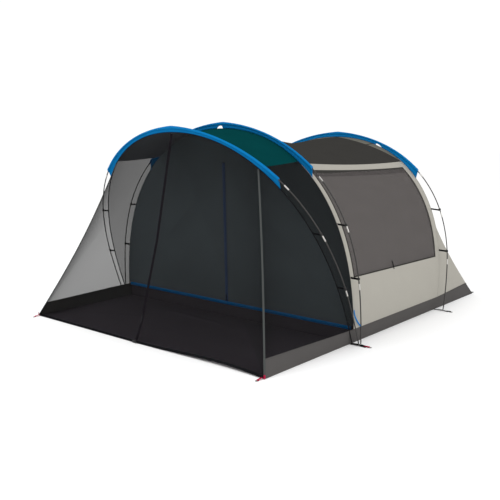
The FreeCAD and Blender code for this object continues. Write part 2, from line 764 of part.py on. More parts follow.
# ---- the whole tent -----------------------------------------------------------------------------
PAIRED = {
    "porch_band": porch_band,
    "bedroom_band": bedroom_band,
    "side_wall": side_wall,
    "window_mesh": window_mesh,
    "window_flap": window_flap,
    "porch_gusset": porch_gusset,
    "front_flap": front_flap,
    "front_zip": front_zip,
    "front_mesh": front_fan,
    "porch_side_mesh": porch_side,
    "front_piping": piping,
    "door_flap": door_flap,
    "door_zip": door_zip,
    "rear_side": rear_side,
}


def pole_nodes():
    lines = {arch.name: PoleLine(arch) for arch in ARCHES}
    made = {"pole_clips": clips(lines)}
    for arch in ARCHES:
        made[arch.name + "_pole_sections"] = pole_sections(lines[arch.name])
        made[arch.name + "_pole_ferrules"] = pole_ferrules(lines[arch.name])
        made[arch.name + "_pole_sleeve"] = sleeve(arch, lines[arch.name])
    made["pole_shock_cords"] = [solid for line in lines.values() for solid in shock_cord(line)]
    return made


def ground_nodes():
    corner_start = CORNER_RING_OUT - CLOTH - LOOP_GAP
    pole_start = RING_X - STRAP_END - BODY_GAP
    rear_loops = peg_loops(("rear_left", "rear_right"), corner_start - REAR_RING_NEARER, CORNER_LOOP_WIDTH)
    rear_loops += peg_loops(("rear_pole_left", "rear_pole_right"), pole_start, LOOP_WIDTH)
    return {
        "foot_pins": foot_pins(),
        "foot_straps": foot_straps(),
        "peg_rings": peg_rings(),
        "front_peg_loops": peg_loops(("front_left", "front_right"), corner_start, CORNER_LOOP_WIDTH),
        "middle_peg_loops": peg_loops(("middle_left", "middle_right"), pole_start, LOOP_WIDTH),
        "rear_peg_loops": rear_loops,
        "porch_floor": floor(-PORCH_LENGTH, 0),
        "bedroom_floor": floor(0, BEDROOM_LENGTH - BODY_GAP),
        "rear_band": rear_band(),
    }


def cloth_nodes():
    return {
        "porch_roof": roof(FRONT, MIDDLE, (0.0, 0.5, 1.0), PORCH_SAG),
        "bedroom_roof": roof(MIDDLE, REAR, (0.0, 0.25, 0.5, 0.75, ROOF_EDGE_FROM), BEDROOM_SAG),
        "rear_roof_edge": roof(MIDDLE, REAR, (ROOF_EDGE_FROM, 1.0), BEDROOM_SAG),
        "rear_wall": rear_wall(),
        "front_sill": front_sill(),
        "sill_buckle": sill_buckle(),
        "front_zip_slider": front_slider(),
        "bedroom_front_header": [wall_header(side) for _, side in SIDES],
        "bedroom_sill_band": cross_band(CLOTH + BODY_GAP, BAND_HEIGHT - BODY_GAP),
        "bedroom_sill_zip": cross_band(BAND_HEIGHT, BAND_HEIGHT + SILL_ZIP_HEIGHT),
        "door_zip_slider": door_slider(),
    }


def nodes():
    made = {**pole_nodes(), **ground_nodes(), **cloth_nodes()}
    for name, make in PAIRED.items():
        for side_name, side in SIDES:
            made[name + "_" + side_name] = make(side)
    return made


def main():
    os.makedirs("parts", exist_ok=True)
    for name, solids in nodes().items():
        Part.makeCompound(solids).exportStep("parts/" + name + ".step")


main()
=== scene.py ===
"""The tunnel tent's looks: cloth, netting, sleeves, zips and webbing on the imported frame.

Metres, +Z up, -Y is the porch end. Places along the tent are given from the middle pole.
"""
import json
from math import acos, asin, copysign, cos, exp, pi, radians, sin, sqrt
import bpy
import bmesh
from mathutils import Matrix, Vector, noise


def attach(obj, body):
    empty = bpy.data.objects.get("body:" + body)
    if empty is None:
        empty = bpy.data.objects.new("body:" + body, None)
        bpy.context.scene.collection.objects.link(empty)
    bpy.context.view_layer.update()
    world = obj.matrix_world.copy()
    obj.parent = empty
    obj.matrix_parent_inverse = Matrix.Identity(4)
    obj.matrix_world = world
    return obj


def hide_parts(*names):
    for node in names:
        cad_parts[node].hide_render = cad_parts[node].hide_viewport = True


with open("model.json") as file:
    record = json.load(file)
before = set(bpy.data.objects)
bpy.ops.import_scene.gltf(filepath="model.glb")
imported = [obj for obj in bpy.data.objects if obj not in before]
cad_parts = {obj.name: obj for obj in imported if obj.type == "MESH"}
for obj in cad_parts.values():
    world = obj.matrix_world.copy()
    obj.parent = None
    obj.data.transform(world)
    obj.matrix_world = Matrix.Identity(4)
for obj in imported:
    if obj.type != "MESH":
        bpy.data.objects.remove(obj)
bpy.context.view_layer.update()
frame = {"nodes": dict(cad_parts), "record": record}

# ---- sizes: the CAD's, apart from small departures in the looks ----
HALF_WIDTH = 1.525
PORCH = 1.25
BEDROOM = 2.68
REAR_POLE = 1.67
MIDDLE_Y = -0.71
BAND = 0.13                       # height of the grey wall round the floor
BAND_FOOT = 0.0015                # clear of the ground
WALL_FOOT = BAND + 0.008          # where the walls and nets start, above the band
EAVE = 1.604
FLAP_HINGE = (0.2495, 1.4688)     # y and z of a point on the windows' hinge line
FLAP_HINGE_SLOPE = 0.0388
EAVE_CLIMB = (0.016, 0.05)        # radians round the arch, at the middle pole and at the rear pole
WINDOW_SILL = 0.604
WINDOW_HEAD = 1.545
WINDOW_FROM, WINDOW_TO = 0.03, 0.95
WINDOW_ROWS = range(14, 45)       # of a side wall's rows and columns of points
WINDOW_COLUMNS = range(3, 44)
BEDROOM_SAG = 0.115
PORCH_SAG = 0.03
FRONT_PIPING_TOP = 1.6
REAR_PIPING_TOP = 1.3
SILL = 0.022
NET_FOOT = SILL + 0.002
ZIP_TOP = (-0.74, 1.897)          # y from the middle pole, and z
ZIP_KNEE = (-0.951, 0.92)
ZIP_ANKLE = (-1.168, 0.17)
ZIP_FOOT = (-1.24, 0.0)
DOOR_TOP = 1.62
DOOR_LOW = 0.156
DOOR_CORNER = 1.5
SLEEVE_HALF_SPAN = {"front": 1.13, "middle": 1.085, "rear": 1.125}
SLEEVE_R = 0.0135
POLE_LEG = 0.055                  # straight part above each foot
SEAM_DROP = 0.045                 # from a pole's crown down to the cloth seam
SEAM_HALF_SPAN = 1.547
CLIP_UP = {"front": (0.56, 1.046), "middle": (0.611, 1.086), "rear": (0.634, 1.067)}
HALF_MOON_X = {"front": (), "middle": (-0.04,), "rear": (-0.594, 0.594)}
HALF_MOON_R = 0.04
RING_X = 1.727
STRAP_END = 1.69
CLOTH, TAPE, WEBBING = 0.0012, 0.0016, 0.0022    # thicknesses
ON_GROUND = 0.0016                # half a sheet's or a strap's thickness, and a little clearance
STITCH_PITCH, STITCH_LENGTH, STITCH_WIDTH = 0.009, 0.0058, 0.0014
TOOTH_PITCH = 0.008
HEAD_BAND = 0.078                 # depth of the dark band at a window's head
CAMERA_PLACE = (4.909, -6.145, 1.920)
CAMERA_ANGLES = (40.17, 9.45)     # degrees round from the front, and above the horizon
CAMERA_LENS = 51.84
SIDES = (("left", -1), ("right", 1))
UP = Vector((0, 0, 1))


def tent(x, y, z):
    """A point given by its distance behind the middle pole."""
    return Vector((x, MIDDLE_Y + y, z))


def mirrored(point, side):
    """A point of the right side (side 1), or its image on the left (side -1)."""
    return Vector((point.x * side, point.y, point.z))


def spaced(start, end, count):
    """Numbers from start to end that divide the way into count equal parts."""
    return [start + (end - start) * i / count for i in range(count + 1)]


def power(value, exponent):
    """A power that keeps the value's sign."""
    return copysign(abs(value) ** exponent, value)


class Arch:
    """A bent pole and the cloth seam inside it, in one leaning plane."""

    def __init__(self, name, foot_y, lean, crown, half_span):
        self.name = name
        self.foot_y = foot_y
        self.lean = radians(lean)
        self.crown = crown
        self.seam_crown = crown - SEAM_DROP
        self.half_span = half_span
        self.square = Vector((0, cos(self.lean), -sin(self.lean)))

    def place(self, x, up, across=0.0):
        """A point of the arch's plane, or beside it by a distance across."""
        in_plane = Vector((x, self.foot_y + up * sin(self.lean), up * cos(self.lean)))
        return in_plane + self.square * across

    def pole(self, turn):
        """The pole's middle line; turn runs from 0 at the right foot to pi at the left."""
        up = POLE_LEG + (self.crown - POLE_LEG) * abs(sin(turn)) ** (2 / 2.74)
        return self.place(self.half_span * power(cos(turn), 2 / 1.85), up)

    def seam(self, turn):
        """The cloth's seam under the pole, at the same turn."""
        up = self.seam_crown * abs(sin(turn)) ** (2 / 2.5)
        return self.place(SEAM_HALF_SPAN * power(cos(turn), 2 / 2.1), up)

    def seam_turn(self, height):
        """The turn at which the right half of the seam is at this height."""
        return asin((height / cos(self.lean) / self.seam_crown) ** 1.25)

    def pole_turn(self, x):
        """The turn at which the pole is this far to the right."""
        turn = acos((abs(x) / self.half_span) ** 0.925)
        return turn if x >= 0 else pi - turn

    def outward(self, turn):
        """The direction away from the tent, square to the seam."""
        along = self.seam(turn + 0.01) - self.seam(turn - 0.01)
        return Vector((along.z, 0, -along.x)).normalized()


FRONT = Arch("front", MIDDLE_Y - 0.015, -20.7, 2.076, 1.62)
MIDDLE = Arch("middle", MIDDLE_Y + 0.015, -1.6, 1.983, 1.62)
REAR = Arch("rear", MIDDLE_Y + REAR_POLE, 10.8, 1.918, 1.63)
ARCHES = (FRONT, MIDDLE, REAR)


def skin(front, rear, share, turn, sag, inside=0.0):
    """A point of the cloth between two arches; it sags most at the crown, half way along."""
    drop = 4 * share * (1 - share) * sag * sin(turn) ** 6 + inside
    return front.seam(turn).lerp(rear.seam(turn), share) - front.outward(turn) * drop


# ---- materials ----
WAVES_PER_UNIT = 0.314            # a wave texture of scale 1 repeats about every 0.314


def linear(colour):
    """Linear colour from 0-255 display values."""
    shares = [value / 255 for value in colour]
    return [v / 12.92 if v <= 0.04045 else ((v + 0.055) / 1.055) ** 2.4 for v in shares]


def set_inputs(node, values):
    """Constant values on a node's sockets."""
    for name, value in values.items():
        node.inputs[name].default_value = value


class Nodes:
    """A short way to build one material's node tree."""

    def __init__(self, name):
        self.material = bpy.data.materials.new(name)
        self.material.use_nodes = True
        self.tree = self.material.node_tree
        self.shader = self.tree.nodes["Principled BSDF"]

    def add(self, kind, values=None, **settings):
        node = self.tree.nodes.new(kind)
        for name, value in settings.items():
            setattr(node, name, value)
        set_inputs(node, values or {})
        return node

    def link(self, source, target):
        self.tree.links.new(source, target)

    def coordinates(self, kind):
        return self.add("ShaderNodeTexCoord").outputs[kind]

    def texture(self, kind, where, values, **settings):
        """The height of a noise or wave texture."""
        node = self.add(kind, values, **settings)
        self.link(where, node.inputs["Vector"])
        return node.outputs["Fac"]

    def mottle(self, where, colour, amount, scale):
        """A slightly uneven base colour, mixed by slow noise."""
        mix = self.add("ShaderNodeMix", data_type="RGBA")
        for socket, share in ((6, 1 - amount), (7, 1 + amount)):
            mix.inputs[socket].default_value = [min(1, c * share) for c in linear(colour)] + [1]
        patches = self.texture("ShaderNodeTexNoise", where, {"Scale": scale, "Detail": 3.0})
        self.link(patches, mix.inputs["Factor"])
        self.link(mix.outputs[2], self.shader.inputs["Base Color"])

    def math(self, operation, a, b=None, values=None):
        """A sum, quotient or the like of one or two linked numbers."""
        node = self.add("ShaderNodeMath", values, operation=operation)
        for source, socket in zip((a, b), node.inputs):
            if source:
                self.link(source, socket)
        return node.outputs[0]

    def part(self, kind, axis):
        """One component of the coordinates."""
        node = self.add("ShaderNodeSeparateXYZ")
        self.link(self.coordinates(kind), node.inputs[0])
        return node.outputs[axis]

    def bump(self, height, strength, distance):
        node = self.add("ShaderNodeBump", {"Strength": strength, "Distance": distance})
        self.link(height, node.inputs["Height"])
        self.link(node.outputs["Normal"], self.shader.inputs["Normal"])

    def painted_shade_by_piping(self, alpha, painted_shade_alpha):
        """Painted shade: the netting grows more opaque towards its piping, where V starts, over a reach
        that grows with height, standing in for the darker look of netting seen edge-on.
        """
        reach = self.math("MULTIPLY_ADD", self.part("Object", "Z"), values={1: 0.2, 2: 0.045})
        ratio = self.math("DIVIDE", self.part("UV", "Y"), reach)
        falling = self.math("POWER", None, ratio, {0: exp(-1)})
        total = self.math("MULTIPLY_ADD", falling, values={1: painted_shade_alpha, 2: alpha})
        self.link(total, self.shader.inputs["Alpha"])


def woven(name, colour, rough=0.75, pitch=0.0016, amount=0.08, strength=0.35, alpha=1.0, coords="UV",
          patches=5.0, edge=0.0):
    """Woven cloth: crossed threads one pitch apart, fine creasing, and slightly uneven dye."""
    nodes = Nodes(name)
    where = nodes.coordinates(coords)
    nodes.mottle(where, colour, amount, patches)
    wave = {"Scale": WAVES_PER_UNIT / pitch, "Distortion": 0.4, "Detail": 1.0}
    warp, weft = [nodes.texture("ShaderNodeTexWave", where, wave, bands_direction=axis) for axis in "XY"]
    creasing = nodes.texture("ShaderNodeTexNoise", where, {"Scale": 22.0, "Detail": 4.0})
    nodes.bump(nodes.math("ADD", nodes.math("ADD", warp, weft), creasing), strength, pitch)
    set_inputs(nodes.shader, {"Roughness": rough, "Alpha": alpha, "Specular IOR Level": 0.0})
    # edge adds painted shade: more alpha on the netting towards its piping
    if edge:
        nodes.painted_shade_by_piping(alpha, edge)
    return nodes.material


def netting(name, alpha, edge=0.0):
    """Black netting that lets 1 - alpha of the light through; edge adds painted shade towards its piping.
    """
    return woven(name, (20, 20, 20), 0.9, 0.0022, 0.1, 0.3, alpha, edge=edge)


def moulded(name, colour, rough, metal=0.0):
    """Plastic or metal with a fine grain."""
    nodes = Nodes(name)
    where = nodes.coordinates("Object")
    nodes.mottle(where, colour, 0.12, 60.0)
    nodes.bump(nodes.texture("ShaderNodeTexNoise", where, {"Scale": 900.0, "Detail": 2.0}), 0.15, 0.0003)
    set_inputs(nodes.shader, {"Roughness": rough, "Metallic": metal})
    return nodes.material


MATERIALS = {
    "sleeve_cloth": woven("sleeve_weave", (16, 112, 172), 0.6, 0.0018, 0.1, 0.4),
    "porch_roof_cloth": woven("porch_roof_weave", (6, 58, 60), 0.7, 0.0016, 0.12),
    "bedroom_roof_cloth": woven("bedroom_roof_weave", (55, 54, 52), 0.75, 0.0016, 0.06),
    "roof_edge_cloth": woven("roof_edge_weave", (100, 99, 92), 0.75, 0.0016, 0.06),
    "wall_cloth": woven("wall_weave", (160, 157, 149), 0.75, 0.0016, 0.035, 0.25),
    "band_cloth": woven("band_weave", (83, 81, 80), 0.6, 0.0016, 0.07),
    "floor_cloth": woven("floor_weave", (74, 69, 75), 0.6, 0.0022, 0.14, 0.3, patches=2.0),
    "inner_wall_cloth": woven("inner_wall_weave", (94, 102, 106), 0.8, 0.0016, 0.22, patches=1.3),
    "porch_mesh": netting("porch_netting", 0.5),
    # netting with painted shade: more opaque towards the corner piping
    "mesh_painted_shade_by_piping": netting("netting_painted_shade_by_piping", 0.5, 0.2),
    "gusset_mesh": netting("gusset_netting", 0.72),
    "window_mesh": woven("window_netting", (90, 86, 85), 0.85, 0.0022, 0.16, 0.5, alpha=0.7, patches=7.0),
    "window_flap_cloth": woven("flap_weave", (158, 153, 150), 0.75, 0.0016, 0.05),
    "piping_tape": woven("piping_weave", (74, 77, 76), 0.7, 0.0012, 0.08),
    "roof_inside": woven("roof_coating", (106, 108, 113), 0.8, 0.0016, 0.08),
    "black_zip": woven("black_zip_weave", (30, 27, 31), 0.7, 0.0012, 0.1),
    "blue_zip": woven("blue_zip_weave", (24, 112, 176), 0.7, 0.0012, 0.08),
    "dull_blue_zip": woven("dull_blue_zip_weave", (78, 94, 126), 0.7, 0.0012, 0.08),
    "dark_webbing": woven("dark_webbing_weave", (26, 26, 28), 0.7, 0.0025, 0.12, 0.6),
    "red_webbing": woven("red_webbing_weave", (186, 34, 72), 0.7, 0.0025, 0.12, 0.6),
    "black_plastic": moulded("moulded_black", (16, 16, 17), 0.45),
    "slider_metal": moulded("painted_zinc", (32, 32, 34), 0.4, 0.6),
    "pole_fibre": moulded("pole_rod", (38, 36, 34), 0.5),
    "ferrule_metal": moulded("satin_steel", (196, 194, 190), 0.3, 1.0),
    "pin_steel": moulded("plated_steel", (178, 177, 175), 0.35, 1.0),
    "elastic_cord": woven("cord_braid", (40, 40, 42), 0.7, 0.001, 0.1, coords="Object"),
    "blue_thread": woven("blue_sewing_thread", (2, 70, 130), 0.6, 0.0006, 0.05),
}


# ---- mesh builders ----
def added(name, data):
    """A new object in the scene."""
    obj = bpy.data.objects.new(name, data)
    bpy.context.scene.collection.objects.link(obj)
    return obj


def piece(name, mesh, slot, body="tent", nodes=(), finish=None):
    """An object of this mesh that rides on a body and stands for these CAD nodes."""
    obj = added(name, mesh)
    mesh.name = name
    mesh.materials.append(MATERIALS[finish or slot])
    for polygon in mesh.polygons:
        polygon.use_smooth = True
    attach(obj, body)
    if nodes:
        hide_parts(*nodes)
    return obj


def finished(built):
    """The bmesh as a mesh; the bmesh is freed."""
    mesh = bpy.data.meshes.new("mesh")
    built.to_mesh(mesh)
    built.free()
    return mesh


def grid_mesh(rows, skip=None, wrap=False, outward=None):
    """A mesh through rows of points, with UVs in metres along and across. skip leaves faces out."""
    count, width = len(rows), len(rows[0])
    built = bmesh.new()
    verts = [[built.verts.new(p) for p in row] for row in rows]
    uv_layer = built.loops.layers.uv.new("UVMap")
    run = [[0.0] * (width + 1) for _ in rows]
    rise = [[0.0] * (width + 1) for _ in rows]
    for i in range(count):
        for j in range(width + 1 if wrap else width):
            if j:
                run[i][j] = run[i][j - 1] + (rows[i][j % width] - rows[i][j - 1]).length
            if i:
                rise[i][j] = rise[i - 1][j] + (rows[i][j % width] - rows[i - 1][j % width]).length
    for i in range(count - 1):
        for j in range(width if wrap else width - 1):
            if skip and skip(i, j):
                continue
            corners = ((i, j), (i, j + 1), (i + 1, j + 1), (i + 1, j))
            face = built.faces.new([verts[a][b % width] for a, b in corners])
            for loop, (a, b) in zip(face.loops, corners):
                loop[uv_layer].uv = (run[a][b], rise[a][b])
    loose = [v for v in built.verts if not v.link_faces]
    bmesh.ops.delete(built, geom=loose, context="VERTS")
    bmesh.ops.remove_doubles(built, verts=built.verts, dist=0.00002)
    bmesh.ops.dissolve_degenerate(built, edges=built.edges, dist=0.00001)
    built.normal_update()
    if outward is not None:
        facing = sum(f.normal.dot(outward(f.calc_center_median())) * f.calc_area() for f in built.faces)
        if facing < 0:
            bmesh.ops.reverse_faces(built, faces=built.faces)
    return finished(built)


def from_middle(point):
    """Outwards from the tent's long axis."""
    return point - Vector((0, point.y * 0.6, 0.7))


def thicken(obj, thickness):
    """Gives a sheet its thickness, and shading that stays flat across its thin edges."""
    solid = obj.modifiers.new("thickness", "SOLIDIFY")
    solid.thickness = thickness
    solid.offset = 0
    obj.modifiers.new("normals", "WEIGHTED_NORMAL").weight = 100


def cloth(name, rows, slot, nodes=(), body="tent", thickness=CLOTH, skip=None,
          finish=None):
    """A sheet of cloth through rows of points."""
    obj = piece(name, grid_mesh(rows, skip, outward=from_middle), slot, body, nodes, finish)
    if thickness:
        thicken(obj, thickness)
    return obj


def sweep_mesh(path, section):
    """A closed mesh of section(i) points, given as offsets from each path point."""
    mesh = grid_mesh([[p + offset for offset in section(i)] for i, p in enumerate(path)], wrap=True)
    cap_ends(mesh)
    return mesh


def cap_ends(mesh):
    """Closes a tube's open ends."""
    built = bmesh.new()
    built.from_mesh(mesh)
    bmesh.ops.holes_fill(built, edges=[e for e in built.edges if e.is_boundary], sides=0)
    bmesh.ops.recalc_face_normals(built, faces=built.faces)
    built.to_mesh(mesh)
    built.free()


def directions(path):
    """Unit vectors along a path of points."""
    ahead = [path[min(i + 1, len(path) - 1)] - path[max(i - 1, 0)] for i in range(len(path))]
    return [v.normalized() for v in ahead]


def rod_mesh(path, radius, sides=10, facing=UP):
    """A round cord or rod along a path."""
    along = directions(path)
    def section(i):
        a = along[i].cross(facing).normalized()
        b = along[i].cross(a)
        turns = [2 * pi * k / sides for k in range(sides)]
        return [(a * cos(t) + b * sin(t)) * radius for t in turns]
    return sweep_mesh(path, section)


def tape_mesh(path, across, thickness=TAPE):
    """A flat tape along a path; across is its full width as a vector, or one such vector for each point."""
    along = directions(path)
    widths = across if isinstance(across, list) else [across] * len(path)
    def section(i):
        half = widths[i] / 2
        lift = along[i].cross(half).normalized() * thickness / 2
        edge = half * 0.92
        return [-half, -edge + lift, edge + lift, half, edge - lift, -edge - lift]
    return sweep_mesh(path, section)


def joined(meshes):
    """One mesh of several."""
    built = bmesh.new()
    for mesh in meshes:
        built.from_mesh(mesh)
        bpy.data.meshes.remove(mesh)
    return finished(built)


def box_mesh(centre, x, y, z, bevel):
    """A box with rounded edges, spanned by three full-size vectors."""
    built = bmesh.new()
    bmesh.ops.create_cube(built, size=1.0)
    turn = Matrix((x, y, z)).transposed().to_4x4()
    bmesh.ops.transform(built, matrix=Matrix.Translation(centre) @ turn, verts=built.verts)
    bmesh.ops.bevel(built, geom=built.edges, offset=bevel, segments=3, affect="EDGES", profile=0.6)
    bmesh.ops.recalc_face_normals(built, faces=built.faces)
    return finished(built)


def steps(path, pitch):
    """Places a pitch apart along a path, each with the path's direction."""
    due = 0.0
    for a, b in zip(path, path[1:]):
        run = (b - a).length
        along = (b - a) / run
        while due < run:
            yield a + along * due, along
            due += pitch
        due -= run


def stitches(path, out):
    """A row of raised stitches along a path, joined in one mesh."""
    built = bmesh.new()
    for place, along in steps(path, STITCH_PITCH):
        side = along.cross(out).normalized() * STITCH_WIDTH / 2
        start = place + out * 0.0006
        end = start + along * STITCH_LENGTH
        low = [built.verts.new(c) for c in (start - side, start + side, end + side, end - side)]
        high = [built.verts.new(start + along * STITCH_LENGTH * s + out * 0.0009) for s in (0.2, 0.8)]
        points = low + high
        for corners in ((0, 1, 4), (2, 3, 5), (1, 2, 5, 4), (3, 0, 4, 5), (3, 2, 1, 0)):
            built.faces.new([points[i] for i in corners])
    return finished(built)


def halving(low, high, below):
    """The number between low and high where below(number) turns from true to false."""
    while high - low > 0.00002:
        middle = (low + high) / 2
        low, high = (middle, high) if below(middle) else (low, middle)
    return low


def ripple(x, y, z):
    """Smooth noise between -1 and 1."""
    return noise.noise(Vector((x, y, z)))


def creases(along, across, seed, height):
    """Height of the soft folds in stretched cloth: long along the pull, short across it."""
    slow = ripple(across * 5.0, along * 0.7, seed)
    fast = ripple(across * 17.0, along * 1.9, seed + 9.0)
    return (slow + 0.35 * fast) * height


def fade(share):
    """0 at both ends, 1 over most of the middle."""
    return min(1.0, 6.0 * share * (1 - share))


# ---- skins between the arches ----
def raised(turn, share):
    """Over the bedroom, a line of cloth climbs towards the rear, most of all at the eave."""
    low, sill, eave = min(turn, pi - turn), MIDDLE.seam_turn(WINDOW_SILL), MIDDLE.seam_turn(EAVE)
    weight = (low - sill) / (eave - sill) if low < eave else 1 - (low - eave) / (pi / 2 - eave)
    climb = (EAVE_CLIMB[0] + (EAVE_CLIMB[1] - EAVE_CLIMB[0]) * share) * max(0.0, weight)
    return turn + climb if turn < pi / 2 else turn - climb


def skin_rows(front, rear, shares, turns, sag, side=1, seed=0.0, height=0.004):
    """Rows of points of the cloth between two arches, with soft creases that die out at its edges."""
    first, last = turns[0], turns[-1]
    rows = []
    for row_turn in turns:
        row = []
        for share in shares:
            turn = raised(row_turn, share) if front is MIDDLE else row_turn
            rise = creases(share * 1.6, turn * 2.0, seed, height) * fade(share)
            rise *= fade(0.02 + 0.96 * (turn - first) / (last - first))
            point = skin(front, rear, share, turn, sag) + front.outward(turn) * rise
            row.append(mirrored(point, side))
        rows.append(row)
    return rows


def roof_share(turn):
    """Where the bedroom roof stops and the grey crescent in front of the rear pole starts."""
    eave = MIDDLE.seam_turn(EAVE)
    from_eave = min(turn, pi - turn) - eave
    return 1 - 0.062 * sin(pi * from_eave / (pi / 2 - eave)) ** 0.8 if from_eave > 0 else 1.0


def make_roofs():
    """The green porch roof, the grey bedroom roof, and the crescent between it and the rear sleeve."""
    eave = FRONT.seam_turn(EAVE)
    rows = skin_rows(FRONT, MIDDLE, spaced(0, 1, 20), spaced(eave, pi - eave, 90), PORCH_SAG, seed=3.0)
    lined(cloth("porch_roof_cloth", rows, "porch_roof_cloth", ["porch_roof"]))
    eave = MIDDLE.seam_turn(EAVE)
    turns = spaced(eave, pi - eave, 100)
    full = skin_rows(MIDDLE, REAR, spaced(0, 1, 60), turns, BEDROOM_SAG, seed=7.0, height=0.005)
    roof, edge = [], []
    for turn, row in zip(turns, full):
        stop = roof_share(turn) * 60
        end = sample(row, stop)
        roof.append([sample(row, k * stop / 40) for k in range(40)] + [end])
        edge.append([end, end.lerp(row[-1], 0.5), row[-1]])
    lined(cloth("bedroom_roof_cloth", roof, "bedroom_roof_cloth", ["bedroom_roof"]))
    cloth("rear_roof_edge_cloth", edge, "roof_edge_cloth", ["rear_roof_edge"])


def lined(obj):
    """Gives a thickened cloth a grey coating on its inner face."""
    obj.data.materials.append(MATERIALS["roof_inside"])
    obj.modifiers["thickness"].material_offset = 1


def sample(row, place):
    """A point of a row of points, at a place that may lie between two of them."""
    whole = min(int(place), len(row) - 2)
    return row[whole].lerp(row[whole + 1], place - whole)


def wall_turns():
    """Turns up a side wall, with WINDOW_ROWS of them from the window's sill to its head."""
    stops = [MIDDLE.seam_turn(height) for height in (WALL_FOOT, WINDOW_SILL, WINDOW_HEAD, EAVE)]
    return spaced(*stops[:2], WINDOW_ROWS.start) + spaced(*stops[1:3], 30)[1:] + spaced(*stops[2:], 3)[1:]


def wall_shares():
    """Shares of the way along a side wall, with WINDOW_COLUMNS of them along the window."""
    return spaced(0, WINDOW_FROM, 3) + spaced(WINDOW_FROM, WINDOW_TO, 40)[1:] + spaced(WINDOW_TO, 1, 3)[1:]


def make_side_walls():
    """The side walls with their windows, and the privacy panels inside the windows."""
    for name, side in SIDES:
        rows = skin_rows(MIDDLE, REAR, wall_shares(), wall_turns(), BEDROOM_SAG, side, 11.0 + side)
        def in_window(i, j):
            return i in WINDOW_ROWS[:-1] and j in WINDOW_COLUMNS[:-1]
        cloth("side_wall_cloth_" + name, rows, "wall_cloth", ["side_wall_" + name], skip=in_window)
        window = [[rows[i][j] for j in WINDOW_COLUMNS] for i in WINDOW_ROWS]
        cloth("window_net_" + name, window, "window_mesh", ["window_mesh_" + name], thickness=0)
        panel, strip = flap_rows(side)
        flap = "window_flap_" + name
        cloth("window_flap_cloth_" + name, panel, "window_flap_cloth", [flap], flap)
        cloth("window_flap_top_" + name, strip, "window_flap_cloth")
        make_window_hems(name, side, window)


def flap_point(share, turn):
    """A point of the panel just inside a window."""
    rise = creases(share * 1.6, turn * 2.0, 15.0, 0.003) * fade(share)
    return skin(MIDDLE, REAR, share, raised(turn, share), BEDROOM_SAG, 0.009) + MIDDLE.outward(turn) * rise


def flap_fold(share):
    """The turn where a window's panel folds: level with its hinge, a little under the window's head."""
    def under(turn):
        point = flap_point(share, turn)
        return point.z < FLAP_HINGE[1] - FLAP_HINGE_SLOPE * (point.y - FLAP_HINGE[0]) - 0.003
    return halving(MIDDLE.seam_turn(WINDOW_SILL), MIDDLE.seam_turn(WINDOW_HEAD), under)


def flap_rows(side):
    """The panel inside a window, and the strip that it hangs from."""
    shares = spaced(WINDOW_FROM + 0.012, WINDOW_TO - 0.01, 30)
    sill, head = MIDDLE.seam_turn(WINDOW_SILL), MIDDLE.seam_turn(WINDOW_HEAD - 0.004)
    folds = [flap_fold(share) for share in shares]
    def row(low, high, up):
        return [mirrored(flap_point(s, a + (b - a) * up), side) for s, a, b in zip(shares, low, high)]
    panel = [row([sill] * len(folds), folds, up) for up in spaced(0, 1, 24)]
    return panel, [row(folds, [head] * len(folds), up) for up in spaced(0.02, 1, 4)]


def make_window_hems(name, side, window):
    """Binding tape round the window's sides and sill, and a deep dark band of roof cloth at its head."""
    proud = Vector((side, 0, 0.25)).normalized() * TAPE
    tapes = []
    for path, shift, across in (([row[0] for row in window], (0, 0.007, 0), (0, 0.014, 0)),
                                ([row[-1] for row in window], (0, -0.007, 0), (0, 0.014, 0)),
                                (window[0], (0, 0, 0.006), (0, 0, 0.012))):
        tapes.append(tape_mesh([p + Vector(shift) + proud for p in path], Vector(across)))
    piece("window_binding_" + name, joined(tapes), "bedroom_roof_cloth")
    # a dark band of roof cloth, HEAD_BAND deep, across the window's head
    deep = [p + (q - p).normalized() * HEAD_BAND for p, q in zip(window[-1], window[-7])]
    hem = grid_mesh([[p + proud for p in line] for line in (window[-1], deep)], outward=from_middle)
    thicken(piece("window_head_band_" + name, hem, "bedroom_roof_cloth"), CLOTH)


def net(name, rows, node, finish="porch_mesh", body="tent"):
    """A sheet of the porch's black netting, with no thickness of its own."""
    cloth(name, rows, "porch_mesh", [node], body, 0, finish=finish)


def make_gussets():
    """The netting between the front and middle poles."""
    turns = spaced(FRONT.seam_turn(WALL_FOOT), FRONT.seam_turn(EAVE), 40)
    for name, side in SIDES:
        rows = skin_rows(FRONT, MIDDLE, spaced(0, 1, 12), turns, PORCH_SAG, side, 21.0, 0.003)
        net("gusset_net_" + name, rows, "porch_gusset_" + name, "gusset_mesh")


# ---- porch front ----
def front_corner(height):
    """Right front piping at this height; the pull of the mesh bows it inwards."""
    top = FRONT.seam(FRONT.seam_turn(FRONT_PIPING_TOP))
    share = height / FRONT_PIPING_TOP
    bow = Vector((-0.024, 0.044, 0)) * sin(pi * share)
    return tent(HALF_WIDTH, -PORCH, 0).lerp(top, share) + bow


def rear_corner(height):
    """Right rear piping at this height."""
    top = REAR.seam(REAR.seam_turn(REAR_PIPING_TOP))
    share = height / REAR_PIPING_TOP
    bow = Vector((-0.040, -0.040, 0)) * sin(pi * share)
    return tent(HALF_WIDTH, BEDROOM, 0).lerp(top, share) + bow


def fold(height):
    """The diagonal that a porch door half folds back along."""
    return tent(HALF_WIDTH, -PORCH, 0).lerp(tent(0, *ZIP_TOP), height / ZIP_TOP[1])


def zip_line(height):
    """The porch zip, in straight runs between its four points."""
    stops = (ZIP_FOOT, ZIP_ANKLE, ZIP_KNEE, ZIP_TOP)
    for (y0, z0), (y1, z1) in zip(stops, stops[1:]):
        if height <= z1:
            return tent(0, y0 + (y1 - y0) * (height - z0) / (z1 - z0), height)
    return tent(0, *ZIP_TOP)


FRONT_OUT = Vector((0, -ZIP_TOP[1], ZIP_TOP[0] + PORCH)).normalized()


def bow_at(corner, low, top, up):
    """How far a bowed piping stands off the straight line between two heights, part of the way up."""
    return corner(low + (top - low) * up) - corner(low).lerp(corner(top), up)


